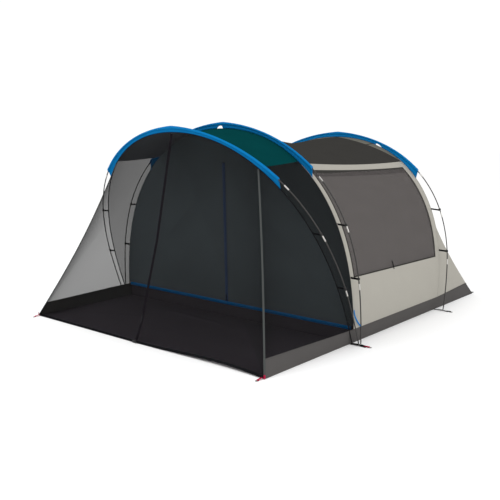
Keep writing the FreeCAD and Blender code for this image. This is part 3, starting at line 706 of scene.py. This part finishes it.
def corner_point(arch, corner, top, up, across, depth, seed):
    """A point between a pole's right leg and its corner piping; depth is how far it is hollowed."""
    low, high = arch.seam_turn(WALL_FOOT), arch.seam_turn(top)
    on_pole, on_piping = arch.seam(low + (high - low) * up), corner(WALL_FOOT + (top - WALL_FOOT) * up)
    hollow = 4 * across * (1 - across) * depth * sin(pi * up)
    hollow -= creases(across, up * 1.5, seed, 0.004) * fade(across) * fade(up)
    return on_pole.lerp(on_piping, across) - Vector((hollow, 0, 0))


def door_point(height, share, side):
    """A point of a porch door half, from the zip to the fold."""
    inner, outer = zip_line(height) + Vector((0.006, 0, 0)), fold(height)
    rise = creases(height * 0.6, share * 0.8, 31.0 + side, 0.006) * fade(share) * fade(height / ZIP_TOP[1])
    return mirrored(inner.lerp(outer, share) + FRONT_OUT * rise, side)


def make_front_door():
    """The two halves of the porch door, each with its half of the zip."""
    heights = spaced(NET_FOOT, ZIP_TOP[1] - 0.012, 44)
    for name, side in SIDES:
        door = "porch_door_" + name
        rows = [[door_point(height, share, side) for share in spaced(0, 1, 24)] for height in heights]
        net("front_door_net_" + name, rows, "front_flap_" + name, body=door)
        make_zip("front_zip_tape_" + name, [zip_line(height) for height in heights], Vector((side, 0, 0)),
                 FRONT_OUT, "black_zip", "front_zip_" + name, door, 0.014)


def make_zip(name, path, side, out, slot, node, body, width, finish=None):
    """Half of a zip: a tape, and the coil with its teeth along the tape's inner edge."""
    tape = tape_mesh([p + side * (width / 2 + 0.001) + out * 0.002 for p in path], side * width)
    coil = rod_mesh([p + side * 0.0022 + out * 0.0034 for p in path], 0.0021, 6, facing=side)
    piece(name, joined([tape, coil, teeth_mesh(path, side, out)]), slot, body, [node], finish)


def teeth_mesh(path, side, out):
    """Small ridges across a zip's coil."""
    built = bmesh.new()
    for place, along in steps(path, TOOTH_PITCH):
        centre = place + side * 0.0022 + out * 0.0052
        shape = Matrix((side * 0.0046, along * 0.003, out * 0.0016)).transposed().to_4x4()
        bmesh.ops.create_cube(built, size=1.0, matrix=Matrix.Translation(centre) @ shape)
    return finished(built)


def fan_point(share, up, side):
    """A point of the net between a door half's fold, at share 0, and the corner piping, at share 1."""
    crown, piping_turn = pi / 2, FRONT.seam_turn(FRONT_PIPING_TOP)
    foot = fold(NET_FOOT).lerp(front_corner(NET_FOOT), share)
    top = FRONT.seam(crown + (piping_turn - crown) * share) if share else fold(ZIP_TOP[1])
    point = foot.lerp(top, up) + bow_at(front_corner, NET_FOOT, FRONT_PIPING_TOP, up) * share
    hollow = 4 * up * (1 - up) * 0.05 * sin(pi * share) ** 1.2
    hollow -= creases(up, share * 1.6, 37.0, 0.006) * fade(up) * fade(share)
    return mirrored(point - FRONT_OUT * hollow, side)


def make_front_nets():
    """The fixed nets on both sides of the corner pipings; their rows start at the piping."""
    side_net = (FRONT, front_corner, FRONT_PIPING_TOP)
    for name, side in SIDES:
        rows = [[fan_point(share, up, side) for up in spaced(0, 1, 44)] for share in spaced(1, 0, 36)]
        # both of these nets carry painted shade, more opaque towards the corner piping
        net("front_net_" + name, rows, "front_mesh_" + name, "mesh_painted_shade_by_piping")
        rows = [[mirrored(corner_point(*side_net, up, across, 0.03, 43.0), side) for up in spaced(0, 1, 36)]
                for across in spaced(0, 1, 20)[::-1]]
        net("side_net_" + name, rows, "porch_side_mesh_" + name, "mesh_painted_shade_by_piping")
        make_piping(name, side)


def make_piping(name, side):
    """The round piping of a front corner, and the flat tape that it is sewn to."""
    heights = spaced(SILL, FRONT_PIPING_TOP - 0.01, 60)
    path = [mirrored(front_corner(height) + Vector((0.003, -0.003, 0)), side) for height in heights]
    round_edge = rod_mesh(path, 0.0042, facing=Vector((1, 1, 0)))
    flat = tape_mesh(path, Vector((side * 0.010, 0.014, 0)), 0.0014)
    piece("front_piping_tape_" + name, joined([round_edge, flat]), "piping_tape",
          nodes=["front_piping_" + name])


# ---- bedroom front wall ----
def door_fold(up):
    """How far from the middle a bedroom door half's diagonal is at this height."""
    return DOOR_CORNER * (DOOR_TOP - up) / (DOOR_TOP - DOOR_LOW)


def wall_point(x, up, side):
    """A point of the bedroom's front wall, with its soft folds."""
    from_fold = abs(x - door_fold(up)) if DOOR_LOW < up < DOOR_TOP else 1.0
    rise = creases(up, x * 0.8, 51.0, 0.006) * min(1.0, abs(x) * 8, from_fold * 8)
    return mirrored(MIDDLE.place(x, up, rise), side)


def header_point(share, across, side):
    """A point of the wall between a door half's diagonal and the middle pole's seam."""
    low = MIDDLE.seam_turn(DOOR_LOW + 0.012)
    turn = low + (pi / 2 - low) * share
    up = DOOR_LOW + (DOOR_TOP - DOOR_LOW) * share
    seam_x, seam_up = max(MIDDLE.seam(turn).x, 0.0), MIDDLE.seam_crown * sin(turn) ** 0.8
    x = door_fold(up)
    return wall_point(x + (seam_x - x) * across, up + (seam_up - up) * across, side)


def make_inner_wall():
    """The bedroom's door halves with their zip, and the wall round them."""
    zip_path = [MIDDLE.place(0, up, -0.003) for up in spaced(DOOR_LOW + 0.004, DOOR_TOP - 0.022, 40)]
    for name, side in SIDES:
        door = "bedroom_door_" + name
        rows = []
        for up in spaced(DOOR_LOW + 0.001, DOOR_TOP - 0.004, 60):
            reach = door_fold(up)
            rows.append([wall_point(x, up, side) for x in spaced(min(0.002, reach), reach, 30)])
        cloth("door_flap_cloth_" + name, rows, "inner_wall_cloth", ["door_flap_" + name], door)
        rows = [[header_point(up, across, side) for across in spaced(0, 1, 14)] for up in spaced(0, 1, 60)]
        cloth("wall_header_cloth_" + name, rows, "inner_wall_cloth",
              ["bedroom_front_header"] if side > 0 else [])
        make_zip("door_zip_tape_" + name, zip_path, Vector((side, 0, 0)), -MIDDLE.square, "blue_zip",
                 "door_zip_" + name, door, 0.018, "dull_blue_zip")
    make_sill_zip()


def make_sill_zip():
    """The band at the foot of the bedroom's front wall, its zip, and the zip's tails on the side walls."""
    xs = spaced(-HALF_WIDTH + 0.004, HALF_WIDTH - 0.004, 90)
    ups = (0.004, 0.05, 0.09, 0.131)
    rows = [[MIDDLE.place(x, up, creases(x, up, 57.0, 0.004)) for x in xs] for up in ups]
    cloth("bedroom_sill_cloth", rows, "floor_cloth", ["bedroom_sill_band"])
    path = [MIDDLE.place(x, 0.144, -0.006 - 0.002 * ripple(x * 3, 0, 5)) for x in xs]
    coil = rod_mesh([p - MIDDLE.square * 0.003 for p in path], 0.0032, 6)
    parts = [tape_mesh(path, UP * 0.034), coil, teeth_mesh(path, UP * 1.2, -MIDDLE.square)]
    piece("sill_zip_tape", joined(parts), "blue_zip", nodes=["bedroom_sill_zip"])
    tails = []
    for _, side in SIDES:
        tail = []
        for share in spaced(0, 1, 16):
            turn = MIDDLE.seam_turn(0.315 - 0.18 * share)
            point = skin(MIDDLE, REAR, 0.002 + 0.07 * share ** 2, turn, 0) + Vector((0.005, 0, 0))
            tail.append(mirrored(point, side))
        tails.append(tape_mesh(tail, Vector((0, 0.016, 0.006))))
    piece("sill_zip_tails", joined(tails), "blue_zip")


# ---- rear end ----
def rear_wall_point(share, up):
    """A point of the back wall; share runs from its right edge to its left."""
    high = REAR.seam_turn(REAR_PIPING_TOP)
    foot = rear_corner(BAND + 0.001)
    top = REAR.seam(high + (pi - 2 * high) * share)
    push = creases(up, share * 3.0, 67.0, 0.006) * fade(up) * fade(share)
    push -= 4 * up * (1 - up) * 0.03 * sin(pi * share)
    bow, towards = bow_at(rear_corner, BAND, REAR_PIPING_TOP, up), 1 - 2 * share
    off = Vector((bow.x * towards, bow.y * towards ** 2 + push, 0))
    return foot.lerp(mirrored(foot, -1), share).lerp(top, up) + off


def make_rear():
    """The panels behind the rear pole's legs, and the back wall."""
    panel = (REAR, rear_corner, REAR_PIPING_TOP)
    for name, side in SIDES:
        rows = [[mirrored(corner_point(*panel, up, across, 0, 61.0), side) for across in spaced(0, 1, 18)]
                for up in spaced(0, 1, 30)]
        cloth("rear_side_cloth_" + name, rows, "wall_cloth", ["rear_side_" + name])
    rows = [[rear_wall_point(share, up) for up in spaced(0, 1, 40)] for share in spaced(0, 1, 70)]
    cloth("rear_wall_cloth", rows, "wall_cloth", ["rear_wall"])


# ---- floors and bands ----
def floor_rows(front, rear, count, seed):
    """A floor sheet with shallow folds that stay clear of the ground."""
    rows = []
    for y in spaced(front, rear, count):
        row = []
        for x in spaced(-HALF_WIDTH, HALF_WIDTH, 90):
            edge = fade((x + HALF_WIDTH) / (2 * HALF_WIDTH)) * fade((y - front) / (rear - front))
            lift = 0.5 + ripple(x * 1.6, y * 2.4, seed)
            lift += 0.5 * ripple(x * 6.0, y * 4.0, seed + 4)
            row.append(tent(x, y, ON_GROUND + max(0.0, lift) * 0.007 * edge))
        rows.append(row)
    return rows


def crease_ridge(rows, start, end, height):
    """Pinches one soft fold into a floor sheet, from start to end on the ground."""
    length, along = (end - start).length, (end - start).normalized()
    for point in sum(rows, []):
        run = (point - start).dot(along)
        if 0 < run < length:
            off = (point - start - along * run).length
            point.z += height * exp(-(off / 0.03) ** 2) * fade(run / length)


def make_floors():
    """The porch floor with its two larger folds, and the bedroom floor."""
    rows = floor_rows(-PORCH, 0.0, 50, 71.0)
    crease_ridge(rows, tent(-0.62, -0.25, 0), tent(0.25, -0.30, 0), 0.012)
    crease_ridge(rows, tent(-1.3, -0.9, 0), tent(-0.5, -0.55, 0), 0.006)
    cloth("porch_floor_cloth", rows, "floor_cloth", ["porch_floor"])
    rows = floor_rows(0.001, BEDROOM - 0.001, 80, 79.0)
    cloth("bedroom_floor_cloth", rows, "floor_cloth", ["bedroom_floor"])


def band_rows(low_points, high_points, side, seed):
    """A band from the floor's edge up to its seam, between two lines of points."""
    rows = []
    for share in spaced(0, 1, 8):
        row = []
        for low, high in zip(low_points, high_points):
            point = low.lerp(high, share)
            bulge = creases(point.x + point.y, share * 0.2, seed, 0.005) * fade(share)
            row.append(mirrored(point + Vector((bulge, 0, 0)), side))
        rows.append(row)
    return rows


def line(stops, count):
    """Evenly spaced points along straight runs between stops."""
    points = []
    for a, b in zip(stops, stops[1:]):
        points += [a.lerp(b, share) for share in spaced(0, 1, count)][:-1]
    return points + [stops[-1]]


def make_bands():
    """The grey wall round the floor, with the taped seam along its side bands."""
    front, middle, rear = [arch.seam(arch.seam_turn(BAND)) for arch in ARCHES]
    bands = (("porch", (-PORCH, -0.06, 0), (front_corner(BAND), front, middle), 83.0),
             ("bedroom", (0, REAR_POLE, BEDROOM), (middle, rear, rear_corner(BAND)), 89.0))
    for name, side in SIDES:
        for part, ys, tops, seed in bands:
            low, high = line([tent(HALF_WIDTH, y, BAND_FOOT) for y in ys], 40), line(tops, 40)
            rows = band_rows(low, high, side, seed)
            cloth(f"{part}_band_cloth_{name}", rows, "band_cloth", [f"{part}_band_{name}"])
            path = [mirrored(p + Vector((0.0015, 0, 0.004)), side) for p in high]
            piece(f"band_binding_{name}_{part}", tape_mesh(path, UP * 0.009, 0.0018), "band_cloth")
    corner, top = tent(HALF_WIDTH, BEDROOM, BAND_FOOT), rear_corner(BAND)
    low, high = line([corner, mirrored(corner, -1)], 70), line([top, mirrored(top, -1)], 70)
    rows = [[a.lerp(b, share) for a, b in zip(low, high)] for share in spaced(0, 1, 8)]
    cloth("rear_band_cloth", rows, "band_cloth", ["rear_band"])


def make_front_sill():
    """The webbing along the porch's front edge."""
    xs = spaced(-HALF_WIDTH, HALF_WIDTH, 90)
    rows = []
    for z in (0.001, 0.006, 0.012, 0.018, NET_FOOT):
        rows.append([tent(x, -PORCH + creases(x, z, 91.0, 0.004) + z * 0.25, z) for x in xs])
    cloth("front_sill_tape", rows, "dark_webbing", ["front_sill"], thickness=0.002)


def scallop(*names):
    """Between the buckle and the right corner the slack front edge bows in and lifts a little."""
    start, reach = 0.05, 0.3
    for name in names:
        for vertex in bpy.data.objects[name].data.vertices:
            x, behind, z = vertex.co.x, vertex.co.y - (MIDDLE_Y - PORCH), vertex.co.z
            if start < x < HALF_WIDTH and behind < reach and z < reach:
                pull = sin(pi * ((x - start) / (HALF_WIDTH - start)) ** 1.6)
                pull *= (1 - max(0, behind) / reach) * (1 - z / reach)
                vertex.co.y += 0.016 * pull
                vertex.co.z += 0.023 * pull


# ---- sleeves, seams and clips ----
def half_moon(arch, turn):
    """How far the sleeve's flange is cut back at this turn."""
    x = arch.seam(turn).x
    for centre in HALF_MOON_X[arch.name]:
        gap = HALF_MOON_R ** 2 - (x - centre) ** 2
        if gap > 0:
            return min(sqrt(gap) * 0.82, 0.033)
    return 0.0


def sleeve_section(arch, turn):
    """A teardrop round the pole, from the seam in front to the seam behind."""
    pole, seam = arch.pole(turn), arch.seam(turn)
    inward = (seam - pole).normalized()
    radius = SLEEVE_R + 0.0007 * ripple(turn * 40, arch.foot_y, 2)
    sway = 0.0022 * ripple(turn * 14, arch.foot_y * 3, 8)
    edge, neck = seam - inward * half_moon(arch, turn), pole + inward * 0.017
    flange = ((edge, 0.0022), (edge.lerp(neck, 0.5) + arch.square * sway, 0.0026), (neck, 0.004))
    points = [place - arch.square * half for place, half in flange]
    for step in range(9):
        angle = radians(35 + (360 - 70) * step / 8)
        round_pole = inward * cos(angle) * 1.25 - arch.square * sin(angle)
        points.append(pole - inward * 0.003 + round_pole * radius)
    return points + [place + arch.square * half for place, half in reversed(flange)]


def sleeve_turns(arch):
    """Turns along a sleeve, closer together at its half-moons."""
    first = arch.pole_turn(SLEEVE_HALF_SPAN[arch.name])
    turns = spaced(first, pi - first, 200)
    span = 0.045 / arch.half_span
    for centre in HALF_MOON_X[arch.name]:
        middle = arch.pole_turn(centre)
        turns += spaced(middle - span, middle + span, 30)
    return sorted(turns)


def make_sleeve(arch):
    """A pole's sleeve: the cloth, its two rows of stitches on each face, and its cuffs."""
    turns = sleeve_turns(arch)
    mesh = grid_mesh([sleeve_section(arch, turn) for turn in turns], wrap=True)
    cap_ends(mesh)
    piece(arch.name + "_sleeve_cloth", mesh, "sleeve_cloth", nodes=[arch.name + "_pole_sleeve"])
    threads = []
    for out in (-arch.square, arch.square):
        high, runs = [], [[]]
        for turn in turns:
            pole, seam = arch.pole(turn), arch.seam(turn)
            inward = (seam - pole).normalized()
            high.append(pole + inward * 0.020 + out * 0.0042)
            if half_moon(arch, turn) > 0:
                runs.append([])
            else:
                runs[-1].append(seam - inward * 0.005 + out * 0.0028)
        threads += [stitches(path, out) for path in [high] + runs if len(path) > 2]
    piece(arch.name + "_sleeve_stitching", joined(threads), "sleeve_cloth", finish="blue_thread")
    make_sleeve_cuffs(arch)


def make_sleeve_cuffs(arch):
    """The folded and bar-tacked hem at each end of a sleeve."""
    first = arch.pole_turn(SLEEVE_HALF_SPAN[arch.name])
    cuffs = []
    for start, depth in ((first, 0.012), (pi - first, -0.012)):
        path, sections = [], []
        for turn in [start + depth * share for share in (-0.15, 0, 0.5, 1)]:
            path.append(arch.pole(turn))
            sections.append([(p - path[-1]) * 1.12 for p in sleeve_section(arch, turn)])
        cuffs.append(sweep_mesh(path, lambda i: sections[i]))
    piece(arch.name + "_sleeve_cuffs", joined(cuffs), "sleeve_cloth")


def make_seam_tapes():
    """Tape along the cloth seam under each pole; behind the porch it stops at the eaves."""
    for arch, slot, width, thickness in ((FRONT, "dark_webbing", 0.011, 0.003),
                                         (MIDDLE, "wall_cloth", 0.01, 0.0018),
                                         (REAR, "wall_cloth", 0.008, 0.0018)):
        whole = arch is FRONT
        low = arch.seam_turn(0.02 if whole else WALL_FOOT)
        turns = spaced(low, pi - low if whole else arch.seam_turn(EAVE), 200)
        path = [arch.seam(turn) + arch.outward(turn) * 0.001 for turn in turns]
        tapes = []
        for side in (1,) if whole else (1, -1):
            tapes.append(tape_mesh([mirrored(p, side) for p in path], arch.square * width, thickness))
        piece(arch.name + "_seam_tape", joined(tapes), slot)


def pole_at_height(arch, height, side):
    """The point of a pole's leg at this height, and the pole's direction there."""
    turn = halving(0.0, pi / 2, lambda turn: arch.pole(turn).z < height)
    turn = turn if side > 0 else pi - turn
    return arch.pole(turn), (arch.pole(turn + 0.001) - arch.pole(turn - 0.001)).normalized()


def make_clips():
    """Moulded hooks on the poles, each on a webbing tab from the seam."""
    hooks, tabs = [], []
    for arch in ARCHES:
        for height in CLIP_UP[arch.name]:
            for _, side in SIDES:
                centre, along = pole_at_height(arch, height, side)
                inward = arch.square.cross(along).normalized()
                if inward.x * side > 0:
                    inward = -inward
                hooks.append(hook_mesh(centre, along, inward, arch.square))
                seam = mirrored(arch.seam(arch.seam_turn(height)), side)
                start = centre + inward * 0.0135
                path = [start.lerp(seam, share) for share in spaced(0, 1, 8)]
                tabs.append(tape_mesh(path, along * 0.019, WEBBING))
    piece("clip_hooks", joined(hooks), "black_plastic", nodes=["pole_clips"])
    piece("clip_tabs", joined(tabs), "dark_webbing")


def hook_mesh(centre, along, inward, square):
    """A C-shaped hook round the pole, open away from the tent, with a bar for its tab."""
    inner, outer, half = 0.0062, 0.0096, 0.010
    rows = []
    for step in range(25):
        angle = radians(28 + (360 - 56) * step / 24)
        ray = -inward * cos(angle) + square * sin(angle)
        tip = 1.25 if step in (0, 24) else 1.0
        upper = [(inner, 0.9), (inner + 0.001, 1), (outer - 0.001, 1), (outer * tip, 0.85)]
        ring = [(inner, -0.9)] + upper + [(reach, -rise) for reach, rise in upper[:0:-1]]
        rows.append([centre + ray * reach + along * half * rise for reach, rise in ring])
    body = grid_mesh(rows, wrap=True)
    cap_ends(body)
    bar = box_mesh(centre + inward * 0.0125, inward * 0.007, square * 0.0055, along * 0.024, 0.0012)
    return joined([body, bar])


# ---- straps, loops and buckle ----
def strap_path(start, end, lift):
    """A webbing path along the ground with a slight curl."""
    points = []
    for share in spaced(0, 1, 14):
        point = start.lerp(end, share)
        point.z = ON_GROUND + lift * sin(pi * share) ** 2
        points.append(point)
    return points


def loop_mesh(start, centre, out, width):
    """Webbing from a seam to a ring, round its near side, and back under itself."""
    ring_side = centre - out * 0.0105
    path = [start, start.lerp(ring_side, 0.5) + UP * 0.0045]
    path += [ring_side + out * off + UP * rise for off, rise in
             ((-0.006, 0.0062), (0.0015, 0.0055), (0.0028, 0.002), (0.0006, -0.0006), (-0.012, 0.0002))]
    return tape_mesh(path, UP.cross(out) * width, 0.0019)


def make_ground_pieces():
    """The poles' foot straps, the webbing loops that hold the rings, and the front corners' red posts."""
    red, dark = [], []
    for _, side in SIDES:
        out, rear = Vector((side, 0, 0)), Vector((0, 1, 0))
        for y, width, curl, group in ((0.0, 0.052, 0.004, red), (REAR_POLE, 0.025, 0.006, dark)):
            start, end = [tent(side * x, y, ON_GROUND) for x in (HALF_WIDTH + 0.004, STRAP_END)]
            dark.append(tape_mesh(strap_path(start, end, curl), rear * width, WEBBING))
            ring = tent(side * RING_X, y, 0.002)
            group.append(loop_mesh(end - out * 0.03 + UP * 0.003, ring, out, 0.024))
        x = side * (HALF_WIDTH - 0.02)
        red.append(loop_mesh(tent(x, -PORCH - 0.004, 0.012), tent(x, -PORCH - 0.072, 0.002), -rear, 0.02))
        post = [tent(side * (HALF_WIDTH + 0.0015), -PORCH - 0.0025, z) for z in spaced(0.004, 0.036, 6)]
        red.append(tape_mesh(post, Vector((side * 0.010, 0.012, 0)), WEBBING))
        dark.append(loop_mesh(tent(x, BEDROOM + 0.006, 0.01), tent(x, BEDROOM + 0.062, 0.002), rear, 0.02))
    piece("red_peg_loops", joined(red), "red_webbing", nodes=["front_peg_loops", "middle_peg_loops"])
    piece("dark_straps", joined(dark), "dark_webbing", nodes=["foot_straps", "rear_peg_loops"])


def make_buckle():
    """A side-release buckle with its webbing at the foot of the porch zip."""
    y = -PORCH - 0.011
    boxes = []
    for x, z, size, bevel in ((-0.008, 0.015, (0.03, 0.011, 0.024), 0.003),
                              (0.0215, 0.015, (0.006, 0.008, 0.026), 0.002),
                              (0.0145, 0.007, (0.018, 0.006, 0.005), 0.0015),
                              (0.0145, 0.023, (0.018, 0.006, 0.005), 0.0015)):
        boxes.append(box_mesh(tent(x, y, z), *Matrix.Diagonal(size), bevel))
    piece("sill_buckle_body", joined(boxes), "black_plastic", nodes=["sill_buckle"])
    path = [tent(x, y + 0.004 + 0.003 * abs(x) / 0.07, 0.013) for x in spaced(-0.075, 0.06, 14)]
    piece("sill_buckle_strap", tape_mesh(path, UP * 0.018, 0.002), "dark_webbing")


def make_slider(name, start, along, out, node, body):
    """A zip slider: a domed plate in front, one behind, and a pull tab that hangs from its bridge."""
    side = along.cross(out).normalized()
    parts = []
    for off, depth in ((0.0065, 0.0022), (-0.002, 0.0018)):
        centre = start + along * 0.012 + out * off
        parts.append(box_mesh(centre, side * 0.014, along * 0.026, out * depth, 0.0009))
    bridge = ((0.002, 0.007), (0.006, 0.0112), (0.014, 0.0116), (0.02, 0.0078))
    parts.append(tape_mesh([start + along * a + out * b for a, b in bridge], side * 0.004))
    hang = [start + along * (0.008 - 0.046 * s) + out * (0.0098 - 0.002 * s) for s in spaced(0, 1, 8)]
    widths = [side * (0.005 + 0.003 * min(i, 4) / 4) for i in range(len(hang))]
    parts.append(tape_mesh(hang, widths, 0.0018))
    piece(name, joined(parts), "slider_metal", body, [node])


def make_sliders():
    """The zip sliders, each low on its zip."""
    low, high = tent(0, *ZIP_ANKLE), tent(0, *ZIP_KNEE)
    along = (high - low).normalized()
    out = Vector((0, -along.z, along.y))
    make_slider("front_slider", low + along * 0.04, along, out, "front_zip_slider", "porch_zip_slider")
    along = MIDDLE.place(0, 1) - MIDDLE.place(0, 0)
    start = MIDDLE.place(0, DOOR_LOW + 0.05, -0.003)
    make_slider("door_slider", start, along, -MIDDLE.square, "door_zip_slider", "bedroom_zip_slider")


def make_roof_details():
    """The tab across the grey roof edge and the tie at the foot of each window."""
    eave = MIDDLE.seam_turn(EAVE)
    at = eave + (pi / 2 - eave) * 0.52
    tab = [(share, at) for share in spaced(roof_share(at), 1.0, 5)]
    tie = [(0.44 - 0.012 * up, MIDDLE.seam_turn(WINDOW_SILL - 0.015 + 0.085 * up))
           for up in spaced(0, 1, 6)]
    tapes = []
    for places, off, across in ((tab, 0.003, (0.012, 0, 0)), (tie, 0.004, (0, 0.012, 0))):
        path = [skin(MIDDLE, REAR, share, turn, BEDROOM_SAG) + MIDDLE.outward(turn) * off
                for share, turn in places]
        for _, side in SIDES:
            tapes.append(tape_mesh([mirrored(p, side) for p in path], Vector(across), 0.002))
    piece("window_ties", joined(tapes), "dark_webbing")


# ---- CAD nodes that stay, light and camera ----
def paint_cad_nodes():
    """New materials for the CAD nodes that no mesh stands for."""
    slots = {row["node"]: row["material_slot"] for row in frame["record"]["subparts"]}
    for name, obj in frame["nodes"].items():
        if obj.hide_render:
            continue
        material = MATERIALS[slots[name]]
        if obj.material_slots:
            for slot in obj.material_slots:
                slot.material = material
        else:
            obj.data.materials.append(material)


def make_stage():
    """White ground and sky, and two soft lamps."""
    built = bmesh.new()
    bmesh.ops.create_grid(built, x_segments=2, y_segments=2, size=60.0)
    ground = added("ground", finished(built))
    ground.location.z = -0.001
    nodes = Nodes("pale_ground")
    matte_white = {"Base Color": (0.97, 0.97, 0.97, 1), "Roughness": 0.95, "Specular IOR Level": 0.0}
    set_inputs(nodes.shader, matte_white)
    ground.data.materials.append(nodes.material)
    world = bpy.data.worlds.new("studio")
    bpy.context.scene.world = world
    world.use_nodes = True
    set_inputs(world.node_tree.nodes["Background"], {"Color": (1, 1, 1, 1), "Strength": 1.04})
    add_area("key", (-3.5, -6.5, 7.0), 260.0)
    add_area("fill", (7.5, -1.0, 5.0), 150.0)


def add_area(name, place, watts):
    """A square lamp, 5 m wide, that faces the tent."""
    data = bpy.data.lights.new(name, "AREA")
    data.shape = "SQUARE"
    data.size = 5.0
    data.energy = watts
    light = added(name, data)
    light.location = place
    light.rotation_euler = (Vector(place) - Vector((0, 0, 0.8))).to_track_quat("Z", "Y").to_euler()


def make_camera():
    """A view from the front right, a little above the ground."""
    data = bpy.data.cameras.new("camera")
    data.sensor_width = 36.0
    data.lens = CAMERA_LENS
    camera = added("camera", data)
    turn, rise = (radians(angle) for angle in CAMERA_ANGLES)
    back = Vector((sin(turn) * cos(rise), -cos(turn) * cos(rise), sin(rise)))
    right = Vector((cos(turn), sin(turn), 0))
    axes = Matrix((right, back.cross(right), back)).transposed().to_4x4()
    camera.matrix_world = Matrix.Translation(CAMERA_PLACE) @ axes
    bpy.context.scene.camera = camera
    bpy.context.scene.view_settings.view_transform = "Standard"


make_roofs()
make_side_walls()
make_gussets()
make_front_door()
make_front_nets()
make_inner_wall()
make_rear()
make_floors()
make_bands()
make_front_sill()
scallop("porch_floor_cloth", "front_sill_tape", "front_door_net_right", "front_net_right")
for each in ARCHES:
    make_sleeve(each)
make_seam_tapes()
make_clips()
make_ground_pieces()
make_buckle()
make_sliders()
make_roof_details()
paint_cad_nodes()
make_stage()
make_camera()
